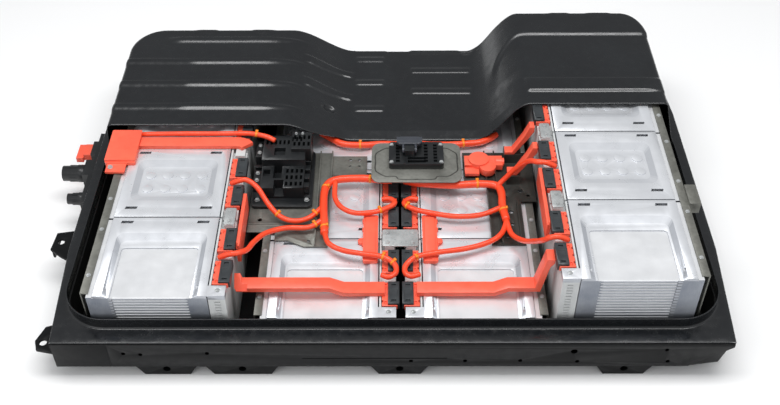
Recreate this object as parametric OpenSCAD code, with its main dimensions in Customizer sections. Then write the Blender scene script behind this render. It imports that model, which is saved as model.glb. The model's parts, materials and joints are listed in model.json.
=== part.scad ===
// Traction battery pack of an electric car, with the near half of its upper
// cover cut away. Millimetres, +Z up, +X along the case, the service side at -Y.
// The origin is on the ground, under the middle of the whole pack.

/* [Case] */
// Length of the case over its flange
case_l = 1448; // [1420:1:1500]
// Width of the case over its flange
case_w = 1018; // [1000:1:1060]
// Flange width outside the tray wall, along the two long sides
side_flange = 40; // [36:1:46]
// Flange width outside the tray wall, at the two ends
end_flange = 32; // [28:1:36]
// How far each flange corner is drawn in, along X
corner_taper = 19; // [0:1:24]
// Where the corner taper starts, from the middle of the case
taper_start = 240; // [150:5:320]
// Outer radius of the tray's corners
corner_r = 95; // [90:1:105]
// Sheet thickness of the tray and rails
tray_t = 3; // [2:0.5:4]
// Height of the tray's underside above the ground
floor_gap = 7; // [6:0.5:12]
// Height of the raised floor under the two middle columns
mid_riser = 8.5; // [6:0.5:10]
// Width of the raised floor
riser_l = 640; // [638:1:640]
// Height of the feet under the rails
foot_h = 30; // [24:1:34]
// Height of the side rails
rail_h = 70; // [60:1:80]
// Depth of the feet, along Y
foot_d = 34; // [24:1:38]
// Thickness of the gasket under the cover
gasket_t = 2; // [1:0.5:4]
// Radius of the large holes in the near rail
rail_hole_r = 7; // [4:0.5:9]
// Radius of the small holes in the near rail
rail_small_r = 4.5; // [3:0.5:6]

/* [Cover] */
// Sheet thickness of the cover
cover_t = 2.5; // [2:0.5:3]
// Height of the cut-away cover's wall above its flange
lip_h = 27.5; // [20:0.5:32]
// Height of the left deck above the ground
left_deck_z = 215; // [210:1:225]
// Height of the middle deck above the ground
mid_deck_z = 141; // [140:1:150]
// Height of the right hump above the ground
hump_z = 258; // [257:1:266]
// Height of the hump's raised back part
hump_step = 7; // [3:0.5:12]
// Height of the long beads on the left deck
bead_h = 5; // [2:0.5:8]
// Height of the flat bead on the hump
hump_bead_h = 6; // [3:0.5:9]
// Share of the rise that the rounded top edge takes, at the two ends
shoulder = 0.24; // [0.2:0.02:0.28]
// Width of the rounded top edge along the far side
crest_in = 11; // [9:0.5:14]
// Fall of the cut edge, where the sheet is turned down
edge_roll = 3; // [1:0.5:4]

/* [Stacks] */
// Height of one cell
cell_h = 8.5; // [8:0.1:8.6]
// Length of a cell between the two end frames
cell_l = 232.5; // [228:0.5:236]
// Depth of a stack, along Y
stack_w = 227; // [224:0.5:228]
// Gap between the stacks of one column
stack_gap = 3; // [2:0.5:4]
// Cells in each stack of the left column
left_cells = 21; // [19:1:21]
// Cells in each stack of the two middle columns
mid_cells = 12; // [11:1:12]
// Cells in each stack of the right column
right_cells = 27; // [25:1:27]
// Height of the pressed top plate
plate_h = 7.5; // [6:0.5:8]
// Sheet thickness of the top plate
plate_t = 1.5; // [1:0.25:2]
// Width of the end frame on the outer side
end_frame = 14; // [12:0.5:16]
// Width of the terminal frame
term_frame = 37; // [35:0.5:37.5]
// Width of a corner post on the stack's near and far faces
post_w = 40; // [30:1:46]
// Depth of the rib between two cells
rib_d = 2; // [1:0.25:3]
// From the case's middle to the terminal side of an outer column
outer_col_x = 377; // [376:0.5:382]
// Middle of the two middle columns, from the case's middle
mid_x = 18; // [16:0.5:20]
// From there to the terminal side of a middle column
mid_col_x = 47; // [46.5:0.5:49]

/* [Terminals] */
// Step from the top plate down to the terminal frame's top
term_drop = 12; // [10:0.5:14]
// Distance of the first terminal from the stack's near face
term_y = 65; // [60:1:70]
// Distance between a stack's two terminals
term_pitch = 94; // [88:1:98]
// Length of an orange terminal holder
holder_l = 66; // [64:1:70]
// How far a holder reaches out from the cells
holder_out = 40; // [39:0.5:41]
// Length of a terminal cap
cap_l = 62; // [50:1:63]
// Width of a terminal cap
cap_w = 24; // [20:0.5:26]
// How far the cap stands above the holder
cap_h = 5; // [3:0.5:6]
// Thickness of the steel link plates
link_t = 3; // [2:0.5:4]
// Length of a link plate across two stacks
link_l = 52; // [44:1:54]
// Radius of the flange bolts
bolt_r = 5; // [4:0.5:5.5]
// Height of a bolt's head with its flange
bolt_h = 3; // [2:0.5:3]

/* [Brackets] */
// Sheet thickness of the steel brackets
bracket_t = 3; // [2:0.5:4]
// Width of a side bracket's top flange
bracket_w = 17; // [15:0.5:18]
// How far the side bracket laps over the end frame
bracket_lap = 3.5; // [2:0.5:5]
// Step from the top plate down to a side bracket's top
bracket_drop = 3; // [3:0.5:4]
// Gap between the middle top plates and the cross plates
pad_h = 2; // [1.5:0.5:3]
// Height of the cross frame's channel edges
channel_h = 10; // [6:0.5:12]

/* [Service plug] */
// Length of the plug bracket, along X
plug_plate_l = 210; // [200:1:216]
// Width of the plug bracket, along Y
plug_plate_w = 138; // [130:1:142]
// Height of the plug bracket's top above the ground
plug_plate_z = 170; // [169:1:180]
// Length of the plug's base
plug_base_l = 128; // [124:1:136]
// Width of the plug's base
plug_base_w = 80; // [76:1:86]
// Height of the plug's base
plug_base_h = 16; // [12:0.5:20]
// Radius of the lever's trunnions
trunnion_r = 3; // [2.5:0.25:3.5]
// Running clearance round a trunnion
pivot_gap = 0.05; // [0.02:0.01:0.09]
// Thickness of the lever's two arms
lever_t = 5; // [4:0.5:6]

/* [High-voltage parts] */
// Width of the flat bus-bar ducts
duct_w = 31; // [28:0.5:32]
// Thickness of the flat bus-bar ducts
duct_t = 12; // [8:0.5:12]
// Radius of the thick cables
trunk_r = 9; // [7:0.5:9]
// Radius of the thin cables
branch_r = 6; // [4:0.5:6]
// Clearance between pieces that stand face to face
fit_gap = 0.3; // [0.2:0.05:0.5]

/* [Side fittings] */
// How far the large connector reaches past the flange
connector_reach = 81; // [76:1:90]
// Radius of the large connector
big_plug_r = 19; // [16:0.5:20]
// Radius of the small connector
small_plug_r = 13; // [10:0.5:15]
// Height of the connectors' axes above the ground
plug_axis_z = 82; // [81:0.5:83]
// Thickness of the mounting ears
ear_t = 5; // [4:0.5:8]
// Radius of the ears' bolt holes
ear_hole_r = 8; // [6:0.5:9]
// Height of the ears' top faces above the ground
ear_z = 92; // [84:1:96]

/* [Hidden] */
$fn = 48;
floor_z = floor_gap + tray_t;
rail_top = foot_h + rail_h;
flange_top = rail_top + tray_t;
cover_z = flange_top + gasket_t;
lip_z = cover_z + lip_h + cover_t;
shell_x = case_l / 2 - end_flange;
shell_y = case_w / 2 - side_flange;
case_shift = (connector_reach) / 2;

// The four columns from left to right, and the four rows from near to far.
COLUMN = ["left", "mid_left", "mid_right", "right"];
CELLS = [left_cells, mid_cells, mid_cells, right_cells];
GROOVE_X = [-outer_col_x, mid_x - mid_col_x, mid_x + mid_col_x, outer_col_x];
FACES_LEFT = [false, false, true, true];
BASE_Z = [floor_z, floor_z + mid_riser, floor_z + mid_riser, floor_z];
pitch_y = stack_w + stack_gap;
near_y = -(4 * stack_w + 3 * stack_gap) / 2;
function cells_h(c) = CELLS[c] * cell_h;
function stack_h(c) = cells_h(c) + plate_h;
function top_z(c) = BASE_Z[c] + stack_h(c);
left_top = top_z(0);
mid_top = top_z(1);
right_top = top_z(3);
strip_drop = bracket_drop + bracket_t;
strip_x = -cell_l - end_frame;
bracket_in = strip_x + bracket_lap;
bracket_out = bracket_in - bracket_w;
bracket_bolt_x = bracket_in - bracket_w / 2;
bracket_bolt_y = [60, 194];
term_ys = [term_y, term_y + term_pitch];
holder_in = 7;
post_l = 24;
plate_z = mid_top + pad_h;
frame_z = plate_z + bracket_t;
channel_z = plate_z + channel_h;

// Places its children on the case's middle line.
module in_case() { translate([case_shift, 0, 0]) children(); }

// Places its children at a stack: x = 0 is the groove on the terminal side,
// +x points away from the cells, y = 0 is the near face, z = 0 the underside.
module at_stack(c, r, z = 0) {
    in_case() translate([GROOVE_X[c], near_y + r * pitch_y, BASE_Z[c] + z])
        if (FACES_LEFT[c]) mirror([1, 0, 0]) children(); else children();
}

module rounded(l, w, r) {
    square([l - 2 * r, w], center = true);
    square([l, w - 2 * r], center = true);
    for (x = [-1, 1], y = [-1, 1]) translate([x * (l / 2 - r), y * (w / 2 - r)]) circle(r);
}

module slab(from, to) { translate(from) cube(to - from); }

// A flange bolt: hexagonal head on a round flange, z = 0 at its seat.
module bolt(r = bolt_r, h = bolt_h) {
    cylinder(r = r, h = h * 0.4);
    cylinder(r = r * 0.78, h = h, $fn = 6);
}

// ---------------------------------------------------------------- case
function case_outline(d) = let (x = case_l / 2 - d, y = case_w / 2 - d, c = corner_taper)
    [[x, -taper_start], [x, taper_start], [x - c, y], [c - x, y],
     [-x, taper_start], [-x, -taper_start], [c - x, -y], [x - c, -y]];

module lower_case() color("#26282b") in_case() difference() {
    union() {
        translate([0, 0, floor_gap]) linear_extrude(flange_top - floor_gap)
            rounded(2 * shell_x, 2 * shell_y, corner_r);
        translate([0, 0, rail_top]) linear_extrude(tray_t) polygon(case_outline(0));
    }
    difference() {
        translate([0, 0, floor_z]) linear_extrude(flange_top)
            rounded(2 * (shell_x - tray_t), 2 * (shell_y - tray_t), corner_r - tray_t);
        translate([mid_x, 0, floor_z + mid_riser / 2])
            cube([riser_l, 2 * shell_y, mid_riser], center = true);
    }
    translate([mid_x, 0, floor_gap + mid_riser / 2 - 1])
        cube([riser_l - 2 * tray_t, 2 * (shell_y - 2 * tray_t), mid_riser + 2], center = true);
}

// The rails are C sections that close on the tray wall, butted at the corners.
module rail_ring() difference() {
    translate([0, 0, foot_h]) linear_extrude(rail_h) polygon(case_outline(0));
    translate([0, 0, foot_h + tray_t]) linear_extrude(rail_h - 2 * tray_t)
        polygon(case_outline(tray_t));
    translate([0, 0, foot_h - 1]) linear_extrude(rail_h + 2)
        rounded(2 * shell_x, 2 * shell_y, corner_r);
}

module long_rail(side) intersection() {
    rail_ring();
    slab([-case_l, side < 0 ? -case_w : shell_y - corner_r * 0.3, 0],
         [case_l, side < 0 ? corner_r * 0.3 - shell_y : case_w, rail_top]);
}

module end_rail(side) intersection() {
    rail_ring();
    slab([side < 0 ? -case_l : 0, corner_r * 0.3 - shell_y, 0],
         [side < 0 ? 0 : case_l, shell_y - corner_r * 0.3, rail_top]);
}

// Large and small holes through the rail's outer wall: distance along X, height.
rail_big_holes = [[376, 79]];
rail_small_holes = [[-558, 73], [-523, 70], [-384, 74], [39, 48], [152, 48], [267, 49],
                    [386, 46], [567, 84], [575, 46]];

module near_rail() color("#2b2d30") in_case() difference() {
    long_rail(-1);
    for (p = rail_big_holes) translate([p[0], -case_w / 2 - 1, p[1]])
        rotate([-90, 0, 0]) cylinder(r = rail_hole_r, h = tray_t + 2);
    for (p = rail_small_holes) translate([p[0], -case_w / 2 - 1, p[1]])
        rotate([-90, 0, 0]) cylinder(r = rail_small_r, h = tray_t + 2);
    slab([-188, -case_w / 2 - 1, 56], [114, -case_w / 2 + 0.8, 59]);
    slab([-590, -case_w / 2 - 1, foot_h - 1], [-588, -case_w / 2 + 0.8, rail_top + 1]);
    translate([case_l / 2 - 104, -case_w, foot_h]) rotate([0, -36, 0])
        translate([0, 0, -rail_h]) cube([2 * rail_h, case_w - shell_y, rail_h]);
}

module far_rail() color("#2b2d30") in_case() long_rail(1);
module end_rails() color("#2b2d30") in_case() for (side = [-1, 1]) end_rail(side);

// Pressed feet under the long rails: first and last x of each.
FEET = [[-542, -410], [-395, -238], [-47, 78], [428, 549]];

module foot(span) {
    flare = 18;
    notch_r = 8;
    web = 4;
    difference() {
        translate([span[0], 0, 0]) rotate([90, 0, 0]) linear_extrude(foot_d, center = true)
            polygon([[0, foot_h], [flare, 0], [span[1] - span[0] - flare, 0],
                     [span[1] - span[0], foot_h]]);
        translate([(span[0] + span[1]) / 2, 0, foot_h - web - notch_r]) rotate([90, 0, 0])
            cylinder(r = notch_r, h = foot_d + 2, center = true);
    }
}

module feet() color("#232527") in_case() for (side = [-1, 1], span = FEET)
    translate([0, side * (case_w / 2 - foot_d / 2 - tray_t), 0]) foot(span);

module gasket() color("#17181a") in_case() translate([0, 0, flange_top])
    linear_extrude(gasket_t) difference() {
        rounded(2 * shell_x + end_flange, 2 * shell_y + end_flange, corner_r + end_flange / 2);
        rounded(2 * (shell_x - tray_t), 2 * (shell_y - tray_t), corner_r - tray_t);
    }

// ---------------------------------------------------------------- cover
// The cover is one pressed sheet: a flange and a low wall all round, and over
// the far half a deck that follows deck_z(), with its beads pressed upwards.
function smooth(t) = let (s = min(1, max(0, t))) s * s * (3 - 2 * s);
ramp_left = [-262, -96];
ramp_right = [200, 330];
function base_z(x) =
    x < mid_x ? left_deck_z + (mid_deck_z - left_deck_z)
        * smooth((x - ramp_left[0]) / (ramp_left[1] - ramp_left[0]))
    : mid_deck_z + (hump_z - mid_deck_z)
        * smooth((x - ramp_right[0]) / (ramp_right[1] - ramp_right[0]));
function cut_y(x) = 62 + 50 * smooth((x + 262) / 180) - 22 * smooth((x - 200) / 130);

bead_ys = [131, 223, 317, 411];
bead_half = 11;
hump_bead_y = [120, 131, 178, 188];
step_y = [362, 372];
function tent(v, mid, half) = max(0, 1 - abs(v - mid) / half);
function within(v, from, to, fade) = min(1, max(0, min(v - from, to - v) / fade));
function left_bead(x, y) = bead_h * max([for (b = [0:3])
    tent(y, bead_ys[b], bead_half) * within(x, b == 3 ? -540 : -655, -250, b == 3 ? 90 : 40)]);
function hump_bead(x, y) = hump_bead_h * within(x, 318, 625, 14)
    * within(y, hump_bead_y[0], hump_bead_y[3], hump_bead_y[1] - hump_bead_y[0]);
function hump_back(x, y) = hump_step * smooth((x - 262) / 68)
    * within(y, step_y[0], 2 * case_w, step_y[1] - step_y[0]);
function deck_z(x, y) = base_z(x) + left_bead(x, y) + hump_bead(x, y) + hump_back(x, y);
function end_inset(side) = shoulder * (base_z(side * shell_x) - cover_z);

ARC = 6;
arc_x = shell_x - corner_r;
arc_y = shell_y - corner_r;
MID_X = [-540, -450, -290, -262, -235, -207, -179, -151, -123, -96, -17, 47, 120, 200,
         222, 243, 265, 287, 308, 330, 344, 460, 600];
row_top = shell_y - 9;
edge_fall = min(edge_roll, hump_z - cover_t - right_top - cap_h - 0.3);
ROWS = [0, 0, 120, 131, 142, 178, 188, 212, 223, 234, 306, 317, 328, 362, 372, 400, 411,
        422, row_top];
NR = len(ROWS) - 1;

// Columns of the deck, as [x, y of the far end, outline point, outward normal,
// width of the rounded edge there].
function arc_column(side, k) = let (a = 90 * k / ARC, n = [side * cos(a), sin(a)],
        in = end_inset(side) * cos(a) * cos(a) + crest_in * sin(a) * sin(a),
        c = [side * arc_x, arc_y])
    [c[0] + (corner_r - in) * n[0], c[1] + (corner_r - in) * n[1], c + corner_r * n, n, in];
COLS = concat([for (k = [0:ARC]) arc_column(-1, k)],
    [for (x = MID_X) [x, shell_y - crest_in, [x, shell_y], [0, 1], crest_in]],
    [for (k = [ARC:-1:0]) arc_column(1, k)]);
NC = len(COLS) - 1;
fold_y = 340;
function row_y(i, j) = let (x = COLS[i][0], end = COLS[i][1])
    j == 0 ? cut_y(x) : j == 1 ? cut_y(x) + edge_roll
    : ROWS[j] <= fold_y ? ROWS[j] : fold_y + (ROWS[j] - fold_y) * (end - fold_y) / (row_top - fold_y);
function deck_point(i, j) = let (x = COLS[i][0], y = row_y(i, j))
    [x, y, deck_z(x, y) - (j == 0 ? edge_fall : 0)];

// The outline of the covered half: up the left end, along the far side, down
// the right end, as [point, normal, deck column, deck row].
FAR_EDGE = concat(
    [for (j = [0:NR - 1]) [[-shell_x, row_y(0, j)], [-1, 0], 0, j]],
    [for (i = [0:NC]) [COLS[i][2], COLS[i][3], i, NR]],
    [for (j = [NR - 1:-1:0]) [[shell_x, row_y(NC, j)], [1, 0], NC, j]]);
// The outline of the open half, from the right end round to the left end.
function near_arc(side) = [for (k = [0:ARC]) let (a = 90 * k / ARC, n = [side * cos(a), -sin(a)])
    [[side * arc_x, -arc_y] + corner_r * n, n]];
function flip(list) = [for (k = [len(list) - 1:-1:0]) list[k]];
NEAR_EDGE = concat(
    [[[shell_x, -60], [1, 0]], [[shell_x, -taper_start], [1, 0]]], near_arc(1),
    [[[200, -shell_y], [0, -1]], [[-200, -shell_y], [0, -1]]], flip(near_arc(-1)),
    [[[-shell_x, -taper_start], [-1, 0]], [[-shell_x, -60], [-1, 0]]]);
NF = len(FAR_EDGE);
NN = len(NEAR_EDGE);

// The flange's outer edge outside a point of the outline.
function edge_x(y) = case_l / 2
    - corner_taper * max(0, abs(y) - taper_start) / (case_w / 2 - taper_start);
function flange_point(p, n) = let (reach = abs(n[0]) > 0.01 && abs(n[1]) > 0.01 ? 100 : side_flange,
        y = max(-case_w / 2, min(case_w / 2, p[1] + reach * n[1])))
    [max(-edge_x(y), min(edge_x(y), p[0] + reach * n[0])), y];

// Points across the sheet's outer face, from the flange's edge to the deck.
function near_profile(e) = let (f = flange_point(e[0], e[1]), z = cover_z + cover_t)
    [[f[0], f[1], z], [e[0][0], e[0][1], z], [e[0][0], e[0][1], lip_z]];
function far_profile(e) = let (top = deck_point(e[2], e[3]), in = COLS[e[2]][4],
        r = in * 0.85, z0 = top[2] - r, zl = min(lip_z, z0 - 1))
    concat([for (q = near_profile(e)) [q[0], q[1], min(q[2], zl)]],
        [for (a = [0, 30, 60]) let (d = in - r * cos(a), z = z0 + r * sin(a))
            [e[0][0] - d * e[1][0], e[0][1] - d * e[1][1], z]]);
// The same points on the sheet's inner face.
function shift_in(q, e, t, dz) = [q[0] - t * e[1][0], q[1] - t * e[1][1], q[2] + dz];
function near_inner(e) = let (p = near_profile(e), t = cover_t)
    [[p[0][0], p[0][1], cover_z], shift_in(p[1], e, t, -t), shift_in(p[2], e, t, 0)];
function far_inner(e) = let (p = far_profile(e), t = cover_t)
    [[p[0][0], p[0][1], cover_z], shift_in(p[1], e, t, -t), shift_in(p[2], e, t, 0),
     shift_in(p[3], e, t, 0), shift_in(p[4], e, t * cos(30), -t * sin(30)),
     shift_in(p[5], e, t * cos(60), -t * sin(60))];

KF = 6;
KN = 3;
DECK0 = NF * KF + NN * KN;
TOTAL = DECK0 + (NC + 1) * (NR + 1);
function deck_id(i, j) = DECK0 + i * (NR + 1) + j;
function far_id(b, k) = k < KF ? b * KF + k : deck_id(FAR_EDGE[b][2], FAR_EDGE[b][3]);
function near_id(b, k) = NF * KF + b * KN + k;
// Near points are numbered on from the far ones, and both ends meet.
function ring_id(b, k) = let (m = b % (NF + NN)) m < NF ? far_id(m, k) : near_id(m - NF, k);

OUTER = concat([for (e = FAR_EDGE) each far_profile(e)], [for (e = NEAR_EDGE) each near_profile(e)],
    [for (i = [0:NC], j = [0:NR]) deck_point(i, j)]);
INNER = concat([for (e = FAR_EDGE) each far_inner(e)], [for (e = NEAR_EDGE) each near_inner(e)],
    [for (i = [0:NC], j = [0:NR]) deck_point(i, j) - [0, 0, cover_t]]);
SHEET = concat(
    [for (b = [0:NF - 2], k = [0:KF - 1])
        [far_id(b, k), far_id(b, k + 1), far_id(b + 1, k + 1), far_id(b + 1, k)]],
    [for (b = [NF - 1:NF + NN - 1], k = [0:1])
        [ring_id(b, k), ring_id(b, k + 1), ring_id(b + 1, k + 1), ring_id(b + 1, k)]],
    [for (i = [0:NC - 1], j = [0:NR - 1])
        [deck_id(i, j), deck_id(i + 1, j), deck_id(i + 1, j + 1), deck_id(i, j + 1)]]);
// Free edges: the flange's rim, and the opening's edge round the near half.
RIM = [for (b = [0:NF + NN]) ring_id(b, 0)];
OPENING = concat([for (b = [NF - 1:NF + NN]) ring_id(b, 2)],
    [for (k = [3:KF - 1]) far_id(0, k)], [for (i = [0:NC]) deck_id(i, 0)],
    [for (k = [KF - 1:-1:2]) far_id(NF - 1, k)]);
function edge_quads(loop) = [for (q = [0:len(loop) - 2])
    [loop[q], loop[q + 1], loop[q + 1] + TOTAL, loop[q] + TOTAL]];

module upper_cover() color("#2e3033") in_case() polyhedron(
    concat(OUTER, INNER),
    concat([for (f = SHEET) flip(f)], [for (f = SHEET) [for (v = f) v + TOTAL]],
        [for (f = edge_quads(RIM)) flip(f)], edge_quads(OPENING)), convexity = 8);

// ---------------------------------------------------------------- stacks
// The near and far faces of a stack show each cell's folded edge as a rib.
function rib_profile(n, w) = concat(
    [for (k = [0:n - 1], q = [[rib_d, 0], [0, 0.15], [0, 0.75], [rib_d, 0.9]])
        [q[0], (k + q[1]) * cell_h]],
    [for (k = [n - 1:-1:0], q = [[rib_d, 0.9], [0, 0.75], [0, 0.15], [rib_d, 0]])
        [w - q[0], (k + q[1]) * cell_h]]);

module cell_stack(c, r) color("#d3d6db") at_stack(c, r) {
    inset = 1.5;
    translate([-cell_l + 1, inset, 0]) rotate([90, 0, 90]) linear_extrude(cell_l - 2)
        polygon(rib_profile(CELLS[c], stack_w - 2 * inset));
    for (x = [-cell_l - 2, -post_w], y = [0, stack_w - inset - rib_d])
        translate([x, y, 0]) cube([post_w, inset + rib_d, cells_h(c)]);
    translate([strip_x, 1, 0]) cube([end_frame - 1.5, stack_w - 2, stack_h(c) - strip_drop]);
    translate([-cell_l - 2, 1, 0]) cube([3, stack_w - 2, cells_h(c) - 1]);
}

// The pressed top plate: a skirted sheet with a dished middle, drawn down to
// the cells. An end plate's dish is open to the face, and shows the cell.
dish_w = [190, 157];
dish_d = [146, 99];
dish_y = [120, 118];
open_w = [200, 164];
open_d = [184, 141];
slot_l = 25;
slot_w = 5;
slot_in = 33.5;

// A pocket with sloping walls: outline at the bottom, outline at height h.
module taper(bottom, top, h, r)
    linear_extrude(h, scale = [top[0] / bottom[0], top[1] / bottom[1]], slices = 1)
        rounded(bottom[0], bottom[1], r);

module dish(grow = 0) translate([-cell_l / 2, dish_y[0], plate_t - grow])
    taper([dish_w[1] + grow, dish_d[1] + grow], [dish_w[0] + grow, dish_d[0] + grow],
          plate_h, 14, $fn = 16);

module open_dish(grow = 0) translate([-cell_l / 2, open_d[0] / 2 - 20, plate_t - grow])
    taper([open_w[1] + 10 + grow, open_d[1] + 40 + grow], [open_w[0] + grow, open_d[0] + 40 + grow],
          plate_h, 14, $fn = 16);

module plate_sheet(end) difference() {
    translate([-cell_l + 1, 0, 0]) cube([cell_l - 2, stack_w, plate_h]);
    difference() {
        translate([-cell_l + 1 + plate_t, plate_t, -1])
            cube([cell_l - 2 - 2 * plate_t, stack_w - 2 * plate_t, plate_h + 1 - plate_t]);
        if (end) open_dish(plate_t); else dish(plate_t);
    }
    if (end) {
        open_dish();
        translate([-cell_l / 2, open_d[1] / 2 - 20, -1]) linear_extrude(plate_h)
            rounded(open_w[1], open_d[1] + 40, 9);
    } else dish();
    for (x = [-cell_l + slot_in, -slot_in], y = [end ? 26 : 28.5, stack_w - 13.5])
        translate([x - slot_l / 2, y - slot_w / 2, plate_h - plate_t - 1])
            cube([slot_l, slot_w, plate_t + 2]);
}

// The pressed rings in the dish of an inner plate.
module plate_rings() for (i = [0:3], j = [0, 1])
    translate([-cell_l / 2 + (i - 1.5) * 39.3, dish_y[1] - 22 + j * 44, 0])
        cylinder(r = 12, h = plate_t + 1.2, $fn = 32);

// The corner tab of an end plate, over the end of the terminal frame.
module plate_tab() difference() {
    translate([-2, 0.5, plate_h - term_drop]) cube([term_frame + 2, 28, term_drop]);
    translate([21, 15, plate_h - term_drop - 1]) cylinder(r = 3, h = term_drop + 2);
    slab([-3, 0, -term_drop], [1, 29, plate_h - 3]);
}

module plate(end) {
    plate_sheet(end);
    if (end) plate_tab(); else plate_rings();
}

module top_plate(c, r) at_stack(c, r, cells_h(c))
    if (r == 3) translate([0, stack_w, 0]) mirror([0, 1, 0]) plate(true);
    else plate(r == 0);

module column_plates(c) color("#dfe1e6") for (r = [0:3]) top_plate(c, r);

// ---------------------------------------------------------------- terminals
module terminal_frame(c, r) at_stack(c, r) {
    h = stack_h(c) - term_drop;
    low = r == 0;
    high = r == 3;
    difference() {
        translate([1.5, 0.5, 0]) cube([term_frame - 1.5, stack_w - 1, h]);
        for (k = [1:CELLS[c] - 2], y = [0, stack_w - 3])
            translate([14, y, (k + 0.35) * cell_h]) cube([12, 3, 2.5]);
    }
    translate([1.5, low ? 30 : 1, h])
        cube([4, stack_w - (low ? 31 : 2) - (high ? 29 : 0), term_drop - 2]);
    if (!low) translate([12, 1, h]) cube([22, post_l, term_drop]);
    if (!high) translate([12, stack_w - 1 - post_l, h]) cube([22, post_l, term_drop]);
}

module terminal_frames() color("#eceded") for (c = [0:3], r = [0:3]) terminal_frame(c, r);

module holder() difference() {
    translate([holder_in, -holder_l / 2, 0]) cube([holder_out - holder_in, holder_l, term_drop]);
    for (y = [-20, 0, 20]) translate([holder_in - 1, y - 3, 4]) cube([4, 6, term_drop]);
    for (y = [-24, 24]) translate([holder_in + 6, y - 4, term_drop - 3]) cube([5, 8, 4]);
}

module terminal_holders() color("#f4512c") for (c = [0:3], r = [0:3], y = term_ys)
    at_stack(c, r, stack_h(c) - term_drop) translate([0, y, 0]) holder();

// A cap lies on its holder and hooks over the holder's outer side.
cap_out = holder_out + 4;
module cap() difference() {
    translate([cap_out - cap_w, -cap_l / 2, -term_drop]) cube([cap_w, cap_l, term_drop + cap_h]);
    slab([cap_out - cap_w - 1, -cap_l, -2 * term_drop], [holder_out + fit_gap, cap_l, 0]);
    for (y = [-1, 1]) translate([cap_out - cap_w / 2, y * (cap_l / 2 - 9), cap_h - 1.5])
        cube([10, 5, 4], center = true);
    translate([cap_out - cap_w / 2, 0, cap_h]) cube([cap_w - 8, 16, 2], center = true);
}

module caps() color("#3b4043") for (c = [0:3], r = [0:3], y = term_ys)
    at_stack(c, r, stack_h(c)) translate([0, y, 0]) cap();

// Steel links join neighbouring stacks of the outer columns, and one wide
// link joins the two middle columns.
link_in = 11;
link_out = 35;
wide_link_l = 2 * (mid_col_x - holder_in);

module link(l, w) difference() {
    translate([-w / 2, -l / 2, 0]) cube([w, l, link_t]);
    for (x = [-1, 1], y = [-1, 1]) translate([x * w / 2, y * l / 2, -1])
        rotate([0, 0, 45]) cube([4, 4, 3 * link_t], center = true);
}

module outer_link_places() for (c = [0, 3], r = [0:2]) if (c == 3 || r != 1)
    at_stack(c, r, stack_h(c)) translate([(link_in + link_out) / 2, stack_w + stack_gap / 2, 0])
        children();

module mid_link_places() for (r = [0, 2]) in_case()
    translate([mid_x, near_y + (r + 1) * pitch_y - stack_gap / 2, mid_top]) children();

module links() color("#8c8e8b") {
    outer_link_places() link(link_l, link_out - link_in);
    mid_link_places() link(link_l, wide_link_l);
}

module link_bolts() {
    outer_link_places() for (y = [-1, 1]) translate([0, y * 15, link_t]) bolt();
    mid_link_places() for (x = [-1, 1], y = [-1, 1]) translate([x * 28, y * 15, link_t]) bolt();
    for (c = [0:3]) {
        at_stack(c, 0, stack_h(c)) translate([21, 15, 0]) bolt();
        at_stack(c, 3, stack_h(c)) translate([21, stack_w - 15, 0]) bolt();
    }
}

// ---------------------------------------------------------------- brackets
// A side bracket ties a column's end frames and stands on the tray's floor.
module side_bracket(c) color("#7d7d78") at_stack(c, 0) {
    top = stack_h(c) - bracket_drop;
    foot = 12;
    length = 4 * stack_w + 3 * stack_gap - 20;
    translate([0, 10 + length, 0]) rotate([90, 0, 0]) linear_extrude(length)
        polygon([[bracket_in, top], [bracket_in, top - bracket_t],
                 [bracket_out + bracket_t, top - bracket_t], [bracket_out + bracket_t, bracket_t],
                 [bracket_out + bracket_t, 0], [bracket_out - foot, 0],
                 [bracket_out - foot, bracket_t], [bracket_out, bracket_t], [bracket_out, top]]);
}

module left_bracket() side_bracket(0);
module mid_left_bracket() side_bracket(1);
module mid_right_bracket() side_bracket(2);
// The right bracket carries a raised box over the joint of its first two stacks.
module right_bracket() union() {
    side_bracket(3);
    color("#7d7d78") at_stack(3, 0, stack_h(3) - bracket_drop)
        slab([bracket_out - 24, stack_w - 14, -22], [bracket_out + 0.5, stack_w + 46, 6]);
}

module bracket_bolts() for (c = [0:3], r = [0:3], y = bracket_bolt_y)
    at_stack(c, r, stack_h(c) - bracket_drop) translate([bracket_bolt_x, y, 0]) bolt();

module flange_bolts() color("#c9ccce") {
    link_bolts();
    bracket_bolts();
}

// ---------------------------------------------------------------- cross frame
// Pressed steel plates on pads on the middle top plates. They carry the
// junction box on the left and the cable brackets on the right.
arm_seat = frame_z + 26;
module channel(x0, x1, y0, y1) difference() {
    slab([x0, y0, plate_z], [x1, y1, channel_z]);
    slab([x0 + bracket_t, y0 - 1, frame_z], [x1 - bracket_t, y1 + 1, channel_z + 1]);
}

module pads(points) for (p = points) translate([p[0], p[1], mid_top]) cylinder(r = 8, h = pad_h + 0.5);

module left_frame() color("#74756f") in_case() difference() {
    union() {
        channel(-173, -142, -259, 56);
        slab([-326, -214, plate_z], [-172, -158, frame_z]);
        slab([-326, -158, plate_z], [-172, 56, frame_z]);
        slab([-143, -24, plate_z], [-60, 44, frame_z]);
        translate([0, 0, plate_z]) linear_extrude(bracket_t)
            polygon([[-262, -213], [-172, -213], [-172, -259], [-196, -259], [-232, -240], [-262, -240]]);
        slab([-326, -190, frame_z - 0.5], [-172, -186, frame_z + 2]);
        pads([[-158, -200], [-158, 40], [-245, -190], [-90, 20], [-245, -20]]);
    }
    for (p = [[-300, -175, 5], [-215, -200, 4], [-186, -242, 3.5], [-100, 30, 4], [-78, 30, 4],
              [-100, 8, 3], [-78, 8, 3]])
        translate([p[0], p[1], mid_top - 1]) cylinder(r = p[2], h = 30);
}

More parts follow.
